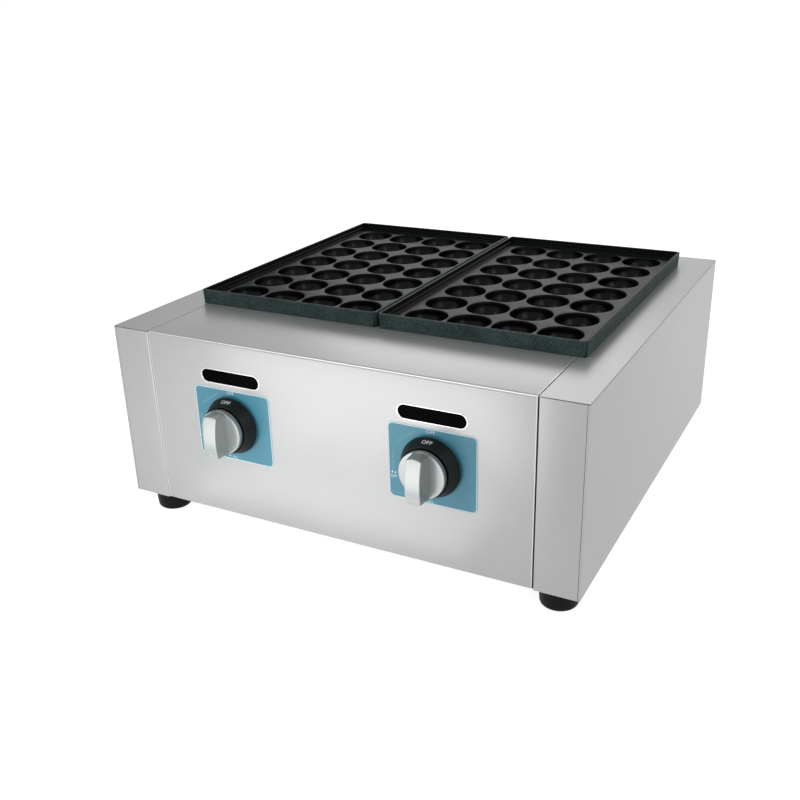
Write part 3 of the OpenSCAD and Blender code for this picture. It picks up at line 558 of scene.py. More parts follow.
@dataclass(frozen=True)
class CastPan:
    """Seasoned dark casting: satin on its floor and glossier in its cups. Painted shade darkens the cups and
    the inner walls, and the paler outer walls are partly wear and partly painted light.

    Attributes:
        name: The material's name.
        middle: The pan's middle, x and y.
        half: Half of its width and depth.
        floor_z: The height of its floor.
        black: The painted shade in the cups and on the inner walls.
        satin: The floor's colour.
        worn_and_lit: The colour of the outer walls' grains, partly wear and partly painted light.
        shine: The strength of its plain reflection, 0.5 for most things.
        skin_w: How deep under the pan's edge its outer skin starts to end and where it ends.
        cup_z: From what height over the floor, down to where, the painted shade in the cups starts.
        wall_z: The same upward for the inner walls.
    """

    name: str
    middle: Pair
    half: Pair
    floor_z: float
    black: Colour = linear(3, 5, 5)
    satin: Colour = linear(12, 17, 17)
    worn_and_lit: Colour = linear(84, 102, 100)
    shine: float = 0.06
    skin_w: Pair = (0.9 * MM, 1.6 * MM)
    cup_z: Pair = (-3 * MM, -0.4 * MM)
    wall_z: Pair = (0.4 * MM, 1.0 * MM)

    def build(self) -> bpy.types.Material:
        """Depth under the floor tells the cups apart, and distance from the nearest edge the outer walls.

        Returns:
            The material.
        """
        graph = Graph.material(self.name)
        x, y, z = graph.axes()
        sand = graph.noise(0.9 * MM, 3, 0.6)
        cloud = graph.noise(24 * MM, 4, 0.6)
        in_x = self.half[0] - (x - self.middle[0]).size()
        in_y = self.half[1] - (y - self.middle[1]).size()
        outside = 1.0 - in_x.least(in_y).step(*self.skin_w)
        level = z - self.floor_z
        cup = (1.0 - level.step(*self.cup_z)) * (1.0 - outside)
        inner_wall = level.step(*self.wall_z) * (1.0 - outside)
        # Painted shade: the cups and the inner walls are darkened toward near black for the shade in these
        # hollows.
        hidden = cup.most(inner_wall * 0.8)
        floor = graph.blend(hidden, self.satin, self.black)
        # The outer walls' pale grains are partly wear and partly painted light for the light that falls on
        # them.
        skin = graph.blend(outside * (cloud * 0.3 + sand * 0.7).step(0.25, 0.75), floor, self.worn_and_lit)
        rough = 0.34 - cup * 0.1 + outside * 0.14 + (cloud - 0.5) * 0.16 + (sand - 0.5) * 0.08
        return graph.finish({
            "Base Color": skin,
            "Specular IOR Level": self.shine,
            "Roughness": rough,
            "Coat Weight": cup * 0.1,
            "Coat Roughness": 0.14,
            "Normal": graph.bump(sand * 0.7 + cloud * 0.3, 0.07 * MM, 0.5),
        })


@dataclass(frozen=True)
class Plain:
    """A finish made of one colour with fine noise in its tone, roughness and surface.

    Attributes:
        name: The material's name.
        colour: The colour in linear light.
        roughness: The middle roughness.
        metallic: 1 for a metal.
        grain: The size of the texture's blots, in metres.
        depth: The depth of the texture, in metres.
        shift: How far the tone falls in the texture's hollows, as a share.
        coat: The strength of a clear coat.
        shine: The strength of its plain reflection, 0.5 for most things.
        breadth: How many times broader than the texture's blots its clouds are.
    """

    name: str
    colour: Colour
    roughness: float
    metallic: float = 0.0
    grain: float = 0.5 * MM
    depth: float = 0.02 * MM
    shift: float = 0.12
    coat: float = 0.0
    shine: float = 0.5
    breadth: float = 24

    def build(self) -> bpy.types.Material:
        """Fine and broad noise give the tone, broad noise the roughness and fine noise the surface.

        Returns:
            The material.
        """
        graph = Graph.material(self.name)
        fine = graph.noise(self.grain, 3, 0.55)
        broad = graph.noise(self.grain * self.breadth, 3, 0.5)
        low = dimmed(self.colour, 1 - self.shift)
        tone = graph.blend(fine * 0.4 + broad.patchy() * 0.6, low, self.colour)
        return graph.finish({
            "Base Color": tone,
            "Metallic": self.metallic,
            "Roughness": broad.about(self.roughness, 0.05),
            "Coat Weight": self.coat,
            "Specular IOR Level": self.shine,
            "Normal": graph.bump(fine, self.depth, 0.5),
        })


@dataclass(frozen=True)
class PlateInk:
    """Printed label plate: a blue field inside a pale border that follows the rounded edge.

    Attributes:
        name: The material's name.
        middle: The plate's middle.
        half: Half of the plate's width and height.
        corner: The corner radius.
        border: The border's width.
        field_colour: The field's colour.
        edge_colour: The border's colour.
    """

    name: str
    middle: Vector
    half: Pair
    corner: float
    border: float = 0.9 * MM
    field_colour: Colour = linear(74, 142, 164)
    edge_colour: Colour = linear(206, 226, 232)

    def build(self) -> bpy.types.Material:
        """Parts the border from the field by the depth inside the plate's edge.

        That depth is the corner radius less the length by which a point lies outside the inner rectangle,
        so the border keeps one width round the corners.

        Returns:
            The material.
        """
        graph = Graph.material(self.name)
        x, _, z = graph.axes()
        out_x = ((x - self.middle.x).size() - (self.half[0] - self.corner)).most(0.0)
        out_z = ((z - self.middle.z).size() - (self.half[1] - self.corner)).most(0.0)
        inside = self.corner - (out_x * out_x + out_z * out_z) ** 0.5
        speck = graph.noise(0.6 * MM, 3, 0.6)
        cloud = graph.noise(22 * MM, 2, 0.5)
        deep = dimmed(self.field_colour, 0.93)
        field_tone = graph.blend(cloud.patchy() * 0.7 + speck * 0.3, deep, self.field_colour)
        border = 1.0 - inside.step(self.border * 0.8, self.border * 1.2)
        return graph.finish({
            "Base Color": graph.blend(border, field_tone, self.edge_colour),
            "Roughness": cloud.about(0.38, 0.04),
            "Normal": graph.bump(speck, 0.01 * MM, 0.3),
        })


class Finishes:
    """Every finish, built once and handed out by name."""

    def __init__(self) -> None:
        """Builds the finishes."""
        across, along, even = (0.02, 1, 1), (1, 0.02, 1), (1, 1, 1)
        low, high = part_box("front_deck_panel")
        bend = (high.x, low.y, high.z)
        self.sheet_x = SatinSheet("satin_sheet_along_x", across).build()
        self.sheet_y = SatinSheet("satin_sheet_along_y", along).build()
        # The front sheet gets a painted highlight along its top bend and its two sides.
        self.front = SatinSheet("satin_front_sheet_painted_highlight", across, bend=bend).build()
        self.trim = SatinSheet("bright_trim", even, (0.7, 0.7, 0.7, 1), 0.25, 1).build()
        # Near-black paint for the painted shade strips in the housing seams.
        self.gap = Plain("seam_shadow", linear(18, 18, 18), 0.8, shine=0.1).build()
        self.burner = Plain(
            "burner_casting", linear(62, 60, 58), 0.68, 0.3, grain=1.2 * MM, depth=0.15 * MM, shift=0.35
        ).build()
        self.zinc = Plain(
            "zinc_plate", (0.6, 0.62, 0.64, 1), 0.36, 1, grain=1.5 * MM, depth=0.01 * MM, shift=0.2
        ).build()
        self.brass = Plain(
            "machined_brass", (0.78, 0.58, 0.28, 1), 0.28, 1, grain=0.8 * MM, depth=0.01 * MM, shift=0.18
        ).build()
        self.silver = Plain(
            "satin_silver", (0.37, 0.39, 0.38, 1), 0.3, 0.75, grain=2 * MM, depth=0.004 * MM, shift=0.05
        ).build()
        self.rubber = Plain(
            "moulded_rubber", linear(14, 14, 15), 0.55,
            grain=0.7 * MM, depth=0.05 * MM, shift=0.3, shine=0.12,
        ).build()
        self.skirt = Plain(
            "graphite_plastic", linear(13, 20, 20), 0.42, grain=0.4 * MM, shift=0.2, shine=0.2
        ).build()
        self.glass = Plain(
            "dark_glass", linear(4, 5, 5), 0.16, grain=6 * MM, depth=0.004 * MM, shift=0.4, shine=0.01
        ).build()
        self.ceramic = Plain(
            "glazed_ceramic", linear(236, 233, 226), 0.2, grain=1 * MM, depth=0.01 * MM, shift=0.06, coat=0.4
        ).build()
        self.print = Plain(
            "white_print", linear(226, 234, 236), 0.45, grain=0.3 * MM, depth=0.004 * MM, shift=0.05
        ).build()
        self.pale_print = Plain("pale_print", linear(150, 190, 204), 0.5).build()
        self.ivory = Plain("ivory_plastic", linear(226, 218, 194), 0.35).build()
        self.lead = Plain("red_silicone", linear(150, 34, 28), 0.5, shift=0.25).build()


# Pieces


@dataclass(frozen=True)
class Dress:
    """What a piece is made of and how its edges are finished.

    Attributes:
        material: Its material.
        slot: The name of a material slot; not used.
        crease: Faces that meet at more than this many degrees keep a sharp edge.
        bevel: The width of its edges' rounding, in metres, or 0.
        bevel_from: Edges sharper than this many degrees are rounded.
    """

    material: bpy.types.Material
    slot: str
    crease: float = 35.0
    bevel: float = 0.0
    bevel_from: float = 35.0


def add_piece(
    mesh: bpy.types.Mesh, dress: Dress, body: str, replaces: tuple[str, ...] = ()
) -> bpy.types.Object:
    """Puts a mesh in the scene as a piece that rides on a body.

    Args:
        mesh: The piece's mesh, in place.
        dress: Its finish.
        body: The body that it moves with.
        replaces: The nodes that it stands for.

    Returns:
        The piece.
    """
    mesh.materials.clear()
    mesh.materials.append(dress.material)
    mesh.shade_smooth()
    mesh.set_sharp_from_angle(angle=math.radians(dress.crease))
    piece = bpy.data.objects.new(mesh.name, mesh)
    bpy.context.scene.collection.objects.link(piece)
    if dress.bevel > 0:
        rounding = piece.modifiers.new("rounded_edges", "BEVEL")
        rounding.width = dress.bevel
        rounding.segments = 2
        rounding.limit_method = "ANGLE"
        rounding.angle_limit = math.radians(dress.bevel_from)
        rounding.harden_normals = True
    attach(piece, body)
    if replaces:
        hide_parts(*replaces)
    LOG.info("%s: %d faces on %s", piece.name, len(mesh.polygons), body)
    return piece


def copy_of(node: str, name: str) -> bpy.types.Mesh:
    """A node's mesh, copied, welded and joined into flat faces.

    Args:
        node: The node's name.
        name: The copy's name.

    Returns:
        The copy.
    """
    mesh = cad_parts[node].data.copy()
    mesh.name = name
    return cleaned(mesh, flat=True)


def cut_word(text: str, height: float, thickness: float) -> bpy.types.Mesh:
    """A word as a thin closed mesh, centred, with its face in x and y.

    Args:
        text: The word.
        height: The height of its letters.
        thickness: How thick the print is.

    Returns:
        The mesh.
    """
    curve = bpy.data.curves.new("word", "FONT")
    curve.body = text
    curve.size = height / CAPITAL_SHARE
    curve.align_x = "CENTER"
    curve.align_y = "CENTER"
    curve.extrude = thickness / 2
    curve.resolution_u = 3
    holder = bpy.data.objects.new("word", curve)
    bpy.context.scene.collection.objects.link(holder)
    bpy.context.view_layer.update()
    mesh = bpy.data.meshes.new_from_object(holder.evaluated_get(bpy.context.evaluated_depsgraph_get()))
    bpy.data.objects.remove(holder)
    return mesh


@dataclass
class Sided:
    """A sub-assembly that the grill has on each side.

    Attributes:
        side: Which side this one is on.
        finishes: Every finish.
    """

    side: Side
    finishes: Finishes

    def named(self, name: str) -> str:
        """A node's, piece's or joint's name on this side."""
        return self.side.node(name)

    def box(self, name: str) -> tuple[Vector, Vector]:
        """The lowest and the highest corner of this side's node."""
        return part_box(self.named(name))

    def add(
        self, shell: Shell, name: str, dress: Dress, body: str = CHASSIS, replaces: str = ""
    ) -> bpy.types.Object:
        """Puts a surface in the scene as this side's piece, for this side's node where one is named."""
        nodes = (self.named(replaces),) if replaces else ()
        return add_piece(shell.mesh(self.named(name)), dress, body, nodes)


@dataclass
class Pan(Sided):
    """One cast pan: a drafted rim, a ledge inside it, a floor, and cups that hang under the floor.

    Attributes:
        columns: Cups from left to right.
        rows: Cups from front to back.
        cup_r: A cup's inside radius.
        cup_wall: A cup's wall.
        margin_x: From an outer cup's mouth to the pan's side.
        margin_y: From an outer cup's mouth to the pan's front or back.
        floor_t: The floor's thickness.
        lip_r: The rounding of a cup's mouth.
        corner_r: The radius of the pan's corners.
        least_r: The least radius of the rings inside them.
        apron: How far inside the pan's edge the flat floor ends.
        wall: How far inside it the inner wall's foot is.
        ledge: How far inside it the ledge ends.
        ledge_h: The ledge's height over the floor.
        top: How far inside it the rim's top ends.
        draft: How much further in the rim's foot is than its top.
        foot: The foot's width.
        steps: Steps on each side of a cup's cell.
        bends: Steps on each corner of the rim.
        first_dip: How far under the level the first ring of a cup's outer sphere lies, as an angle.
    """

    columns: int = 4
    rows: int = 7
    cup_r: float = 20 * MM
    cup_wall: float = 2.5 * MM
    margin_x: float = 14 * MM
    margin_y: float = 11.5 * MM
    floor_t: float = 4 * MM
    lip_r: float = 1.1 * MM
    corner_r: float = 4 * MM
    least_r: float = 0.6 * MM
    apron: float = 8 * MM
    wall: float = 5 * MM
    ledge: float = 3 * MM
    ledge_h: float = 3 * MM
    top: float = 2.8 * MM
    draft: float = 0.8 * MM
    foot: float = 3 * MM
    steps: int = 12
    bends: int = 7
    first_dip: float = math.radians(18)

    def __post_init__(self) -> None:
        """Works the pan's measures out from its solid."""
        low, high = self.box("pan")
        self.middle = np.array([(low.x + high.x) / 2, (low.y + high.y) / 2])
        self.half = np.array([(high.x - low.x) / 2, (high.y - low.y) / 2])
        self.foot_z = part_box("front_deck_panel")[1].z
        self.rim_z = high.z
        self.floor_z = low.z + self.cup_r + self.cup_wall
        margin = self.cup_r + np.array([self.margin_x, self.margin_y])
        self.pitch = 2 * (self.half - margin) / np.array([self.columns - 1, self.rows - 1])
        self.field_half = self.pitch * np.array([self.columns, self.rows]) / 2

    def cell_edge(self) -> np.ndarray:
        """Evenly spaced points round a cup's cell, about its middle."""
        return square(np.linspace(-1, 1, self.steps, endpoint=False)).reshape(-1, 2) * self.pitch / 2

    def cup_rings(self, radii: np.ndarray, heights: np.ndarray, edge_z: np.ndarray) -> np.ndarray:
        """Rings of points from a cell's edge in to its middle: circles, cut short where the edge is nearer.

        Args:
            radii: Each ring's radius.
            heights: Each ring's height.
            edge_z: The height of each point of the cell's edge.

        Returns:
            Rings by points by three, about the cell's middle.
        """
        edge = self.cell_edge()
        way = ways(np.arctan2(edge[:, 1], edge[:, 0]))
        reach = np.minimum(radii[:, None], np.linalg.norm(edge, axis=-1))
        rings = lifted(reach[..., None] * way, heights[:, None])
        return np.concatenate([lifted(edge, edge_z)[None], rings])

    def cup_inside(self) -> np.ndarray:
        """The floor round a cup, its rounded mouth and its half sphere down to the bottom.

        Returns:
            Rings by points by three, about the cell's middle.
        """
        turn = np.linspace(0, np.pi / 2, 5)
        dip = np.linspace(math.asin(self.lip_r / self.cup_r), np.pi / 2, 15)[1:]
        radii = np.concatenate([self.cup_r + self.lip_r * (1 - np.sin(turn)), self.cup_r * np.cos(dip)])
        heights = np.concatenate([self.lip_r * (np.cos(turn) - 1), -self.cup_r * np.sin(dip)])
        return self.cup_rings(radii, self.floor_z + heights, np.full(4 * self.steps, self.floor_z))

    def under_height(self, from_cup: np.ndarray) -> np.ndarray:
        """The pan's underside: the floor's, or a cup's outer sphere where that hangs lower.

        Args:
            from_cup: How far each point is from the nearest cup's middle.

        Returns:
            Each point's height.
        """
        outer = self.cup_r + self.cup_wall
        sphere = np.sqrt(np.maximum(outer**2 - from_cup**2, 0))
        return self.floor_z - np.maximum(self.floor_t, sphere)

    def cup_outside(self) -> np.ndarray:
        """The underside round a cup and the cup's outer sphere down to its bottom.

        Returns:
            Rings by points by three, about the cell's middle.
        """
        outer = self.cup_r + self.cup_wall
        dip = np.linspace(self.first_dip, np.pi / 2, 12)
        brim = math.sqrt(outer**2 - self.floor_t**2)
        edge = np.linalg.norm(self.cell_edge(), axis=-1)
        rings = self.cup_rings(
            np.concatenate([[brim], outer * np.cos(dip)]),
            np.concatenate([[self.floor_z - self.floor_t], self.floor_z - outer * np.sin(dip)]),
            self.under_height(edge),
        )
        rings[1, :, 2] = self.under_height(np.minimum(brim, edge))
        return rings

    def around(self, half: np.ndarray, corner_r: float) -> np.ndarray:
        """A rounded rectangle whose side points keep step with the cells' edges.

        Args:
            half: Half of its width and depth.
            corner_r: Its corner radius, 0 for sharp corners.

        Returns:
            Its points, about the pan's middle.
        """
        points = []
        inner = half - corner_r
        for side, count in enumerate((self.columns, self.rows) * 2):
            straight = square(np.linspace(-1, 1, count * self.steps + 1))[side]
            over = 1 - side % 2
            run = straight * inner
            run[:, over] = straight[:, over] * half[over]
            turn = math.pi / 2 * (side - 1 + np.linspace(0, 1, self.bends + 1)[1:-1])
            points += [run, straight[-1] * inner + corner_r * ways(turn)]
        return np.concatenate(points)

    def rim_section(self) -> np.ndarray:
        """The rim's section, from the floor over the ledge and the top to the foot and in underneath.

        Returns:
            Rows of inset and height.
        """
        floor, ledge, under = self.floor_z, self.floor_z + self.ledge_h, self.floor_z - self.floor_t
        foot = self.draft + self.foot
        return rounded([
            (self.apron, floor, 0), (self.wall, floor, 1.2 * MM), (self.wall, ledge, 0.6 * MM),
            (self.ledge, ledge, 0.8 * MM), (self.top, self.rim_z, 0.9 * MM), (0, self.rim_z, 1.1 * MM),
            (self.draft, self.foot_z, 0.5 * MM), (foot, self.foot_z, 0.2 * MM), (foot, under, 0.5 * MM),
            (self.wall, under, 0),
        ])

    def shell(self) -> Shell:
        """The whole casting: the rim's section carried round the field of cups, and each cup's two sides.

        Returns:
            One closed surface.
        """
        insets, heights = self.rim_section().T
        radii = np.maximum(self.corner_r - insets, self.least_r)
        loops = [self.around(self.half - inset, radius) for inset, radius in zip(insets, radii)]
        edge = self.around(self.field_half, 0.0)
        cell = (edge + self.field_half) / self.pitch
        nearest = np.clip(np.floor(cell), 0, [self.columns - 1, self.rows - 1]) + 0.5
        from_cup = np.linalg.norm((cell - nearest) * self.pitch, axis=-1)
        rim = [lifted(edge, self.floor_z), *lifted(np.array(loops), heights[:, None])]
        rim.append(lifted(edge, self.under_height(from_cup)))
        shell = Shell.grid(np.array(rim) + [*self.middle, 0], ring=True)
        for rings in (self.cup_inside(), self.cup_outside()):
            for cup in np.ndindex(self.columns, self.rows):
                at = self.middle + (np.array(cup) + 0.5) * self.pitch - self.field_half
                shell += Shell.grid(rings + [*at, 0], ring=True)
        return shell

    def build(self) -> None:
        """Puts the pan in the scene."""
        coat = CastPan(self.named("pan_coat"), tuple(self.middle), tuple(self.half), self.floor_z)
        dress = Dress(coat.build(), "pan", crease=50)
        self.add(self.shell(), "pan_casting", dress, self.named("pan_body"), "pan")


@dataclass
class Housing(Sided):
    """A side housing of flat sheets: a front and a back strip, a side plate and a top, with fine joints and
    dark strips of painted shade behind them.

    Attributes:
        sheet_t: The sheet's thickness.
        side_t: What shows of the side plate's edge at the front.
        joint: The width of the joint beside that edge.
        seam_h: The height of the joint under the top.
        lid_t: What shows of the top's edge over that joint.
        bend_r: The outside radius of the bends at the seam.
        flange_d: The depth of the return flanges.
        sunk: How far the painted shade strips behind the joints lie under the faces.
        shade_in: How far behind the faces the dark strip in the seam starts.
        shade_t: The strip's depth.
        shade_top: The height of its stretch under the deck.
        clear: What the strip keeps clear of the sheets beside it.
        core_r: The radius of the corners of the painted shade strips in the joints.
        slack: What the floor keeps clear of the seam.
    """

    sheet_t: float = 1.2 * MM
    side_t: float = 1.7 * MM
    joint: float = 0.3 * MM
    seam_h: float = 0.5 * MM
    lid_t: float = 0.45 * MM
    bend_r: float = 1.3 * MM
    flange_d: float = 14 * MM
    sunk: float = 0.5 * MM
    shade_in: float = 1.6 * MM
    shade_t: float = 0.8 * MM
    shade_top: float = 3 * MM
    clear: float = 0.02 * MM
    core_r: float = 0.1 * MM
    slack: float = 0.1 * MM

    def __post_init__(self) -> None:
        """Reads the housing's box, with x measured outward from the grill's middle."""
        self.low, self.high = self.box("side_housing")
        self.inner, self.outer = sorted((abs(self.low.x), abs(self.high.x)))
        self.gap = self.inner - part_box("front_deck_panel")[1].x
        self.strip_end = self.outer - self.side_t - self.joint
        self.lid_z = self.high.z - self.lid_t
        self.under = self.lid_z - self.seam_h

    def upright(self, outline: np.ndarray, z: Pair) -> Shell:
        """A prism between two heights, on an outline of the right housing that the left one mirrors."""
        return Shell.prism(outline * [self.side.sign, 1], *z)

    def strip(self, face: float, inward: int) -> Shell:
        """The strip on the front or the back, with its return flange along the seam.

        Args:
            face: Where its outer face is along y.
            inward: Which way is into the body along y, 1 or -1.

        Returns:
            The strip.
        """
        seam, inside, end = self.inner, self.inner + self.sheet_t, self.strip_end
        deep = face + inward * self.flange_d
        back = face + inward * self.sheet_t
        corners = [
            (seam, deep, 0), (seam, face, self.bend_r), (end, face, 0.15 * MM), (end, back, 0),
            (inside, back, self.bend_r * 0.4), (inside, deep, 0),
        ]
        return self.upright(rounded(corners, 6), (self.low.z, self.under))

    def slab(self, x: Pair, y: Pair, z: Pair, corner_r: float) -> Shell:
        """A flat slab between two places along each axis, its upright corners rounded."""
        return self.upright(rounded_box(x, y, corner_r, 6), z)

    def wall(self) -> Shell:
        """The two strips and the side plate.

        Returns:
            All three.
        """
        front, back = self.low.y, self.high.y
        plate_x = (self.outer - self.side_t, self.outer)
        plate = self.slab(plate_x, (front, back), (self.low.z, self.under), corner_r=0.2 * MM)
        return self.strip(front, 1) + self.strip(back, -1) + plate

    def lid(self) -> Shell:
        """The top sheet."""
        across, along = (self.inner, self.outer), (self.low.y, self.high.y)
        return self.slab(across, along, (self.lid_z, self.high.z), corner_r=0.3 * MM)

    def floor(self) -> Shell:
        """The sheet that closes the housing's underside.

        Returns:
            The sheet.
        """
        t = self.sheet_t
        across = (self.inner + self.slack, self.outer - self.side_t)
        along = (self.low.y + t, self.high.y - t)
        return self.slab(across, along, (self.low.z, self.low.z + t), corner_r=0.5 * MM)

    def shade_strips(self) -> Shell:
        """Strips of painted shade behind the joints, dark for the shade in the gaps: under the top, beside
        the side plate's edges and in the seam.

        Returns:
            All of it.
        """
        t, sunk, low_z, top = self.sheet_t, self.sunk, self.low.z + self.sunk, self.high.z
        front, back = self.low.y + sunk, self.high.y - sunk
        across = (self.inner + sunk, self.outer - sunk)
        shade_strips = self.slab(across, (front, back), (self.under - t, self.lid_z), corner_r=0.3 * MM)
        joint_x = (self.strip_end - sunk, self.outer - self.side_t + sunk)
        for y in ((front, self.low.y + t), (self.high.y - t, back)):
            shade_strips += self.slab(joint_x, y, (low_z, self.under), self.core_r)
        seam_x = (self.inner - self.gap + self.clear, self.inner - self.clear)
        shade, shade_end = self.low.y + self.shade_in, self.high.y - self.shade_in
        level = top - self.shade_top
        shade_strips += self.slab(seam_x, (shade, shade + self.shade_t), (low_z, level), self.core_r)
        shade_strips += self.slab(seam_x, (shade, shade_end), (level, top - self.shade_in), self.core_r)
        return shade_strips

    def build(self) -> None:
        """Puts the housing's sheets in the scene."""
        steel = self.finishes.sheet_y
        wall_dress = Dress(steel, "sheet", bevel=0.18 * MM)
        self.add(self.wall(), "housing_wall", wall_dress, replaces="side_housing")
        self.add(self.lid(), "housing_top", Dress(steel, "sheet", bevel=0.15 * MM))
        self.add(self.floor(), "housing_floor", Dress(steel, "sheet", bevel=0.2 * MM))
        # Painted shade: near-black strips behind the seams stand in for the shade inside the gaps.
        self.add(self.shade_strips(), "housing_joints", Dress(self.finishes.gap, "sheet"))


@dataclass
class MiddleSheets:
    """The folded front and back panels and the other sheets, kept to their solids' shapes."""

    finishes: Finishes

    def build(self) -> None:
        """Puts welded, edge-rounded copies of the sheets in the scene."""
        rows = (
            ("front_deck_panel", "front_panel_sheet", self.finishes.front, 0.2),
            ("back_panel", "back_panel_sheet", self.finishes.sheet_x, 0.2),
            ("base_plate", "base_sheet", self.finishes.sheet_x, 0.15),
            ("centre_pan_rail", "pan_rail_sheet", self.finishes.sheet_y, 0.15),
        )
        for node, name, steel, edge in rows:
            dress = Dress(steel, "sheet", crease=28, bevel=edge * MM, bevel_from=50)
            add_piece(copy_of(node, name), dress, CHASSIS, (node,))


@dataclass
class Window(Sided):
    """A sight window: dark glass behind the panel and a bright rolled edge round the slot.

    Attributes:
        width: The slot's width.
        height: The slot's height.
        glass_r: The radius of the glass's corners.
        tuck: How far the trim reaches into the slot, in millimetres.
        deep: How far it reaches in through the panel, in millimetres.
        lap: How wide it lies on the panel, in millimetres.
        rise: How far it stands out from the panel, in millimetres.
        slope: The width of its sloping flanks, in millimetres.
        root: How deep its outer edge is set in the panel, in millimetres.
    """

    width: float = 62 * MM
    height: float = 12.5 * MM
    glass_r: float = 1.5 * MM
    tuck: float = 0.2
    deep: float = 1.1
    lap: float = 1.0
    rise: float = 0.3
    slope: float = 0.2
    root: float = 0.05

    def __post_init__(self) -> None:
        """Reads the glass's box."""
        self.low, self.high = self.box("sight_glass")

    def glass(self) -> Shell:
        """The pane, with its upright edges rounded."""
        outline = rounded_box((self.low.x, self.high.x), (self.low.z, self.high.z), self.glass_r)
        return Shell.prism(outline, -self.high.y, -self.low.y, Facing.FRONT)

    def trim(self) -> Shell:
        """The rolled edge: its section carried round the slot.

        Returns:
            The trim, closed round its section and round the slot.
        """
        middle = (self.low + self.high) / 2
        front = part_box("front_deck_panel")[0].y
        corners = [
            (-self.tuck, -self.deep, 0), (-self.tuck, 0, 0.1), (0, self.rise, 0.15),
            (self.lap - self.slope, self.rise, 0.15), (self.lap, 0, 0.1), (self.lap, -self.root, 0),
        ]
        section = rounded(corners, 3) * MM
        section = np.concatenate([section, section[:1]])
        rings = slot_rings(self.width, self.height, section[:, 0]) + [middle.x, middle.z]
        return Shell.grid(Facing.FRONT.turn(lifted(rings, section[:, 1:] - front)), ring=True)

    def build(self) -> None:
        """Puts the glass and its trim in the scene."""
        dress = Dress(self.finishes.glass, "sight_glass", bevel=0.3 * MM)
        self.add(self.glass(), "window_glass", dress, replaces="sight_glass")
        self.add(self.trim(), "window_trim", Dress(self.finishes.trim, "sheet", 40))


@dataclass(frozen=True)
class Word:
    """A word on a plate, in millimetres about the plate's middle.

    Attributes:
        text: The word.
        x: Its middle across.
        z: Its middle up.
        tall: The height of its letters.
        turn: How far it is turned, in degrees.
    """

    text: str
    x: float
    z: float
    tall: float
    turn: float = 0.0


@dataclass(frozen=True)
class TickRow:
    """A row of upright ticks on a plate, every third one short, in millimetres about the plate's middle.

    Attributes:
        first: The first tick's middle.
        last: The last tick's middle.
        count: How many there are.
        tall: A tick's length.
        wide: Its width.
        short: A short tick's share of that length.
    """

    first: Pair
    last: Pair
    count: int
    tall: float
    wide: float = 0.44
    short: float = 0.6

    def outlines(self) -> list[np.ndarray]:
        """Rectangles spaced evenly along the row and standing across it.

        Returns:
            Each tick's four corners.
        """
        start, run = np.array(self.first), np.array(self.last) - np.array(self.first)
        along = run / np.hypot(*run)
        over = np.array([-along[1], along[0]])
        made = []
        for number, share in enumerate(np.linspace(0, 1, self.count)):
            half = along * self.wide / 2
            rise = over * self.tall * (self.short if number % 3 == 1 else 1.0) / 2
            at = start + run * share
            made.append(np.array([at - half - rise, at + half - rise, at + half + rise, at - half + rise]))
        return made


@dataclass(frozen=True)
class Flame:
    """A flame on a plate, in millimetres about the plate's middle.

    Attributes:
        at: Its middle.
        size: The size of the circle that it is drawn from.
        slim: Its width as a share of the circle's.
        tall: Its height as a share of the circle's.
        lean: How strongly it leans.
    """

    at: Pair
    size: float
    slim: float = 0.5
    tall: float = 0.8
    lean: float = 0.12

    def outline(self) -> np.ndarray:
        """A drop whose tip leans to one side.

        Its width is a circle's, narrowed toward the tip by the root of what is left over it. Its middle
        leans by the square of the height over its foot times the sine of twice the height.

        Returns:
            Its points.
        """
        tip = 1.25
        turn = np.linspace(0, 2 * np.pi, 29)[:-1]
        height = -np.cos(turn)
        width = np.sin(turn) * np.sqrt(np.clip((tip - height) / (tip + 1), 0, None)) * self.slim
        lean = self.lean * (height + 1) ** 2 * np.sin(height * 2)
        return np.array(self.at) + np.stack([width + lean, height * self.tall], axis=-1) * self.size / 2


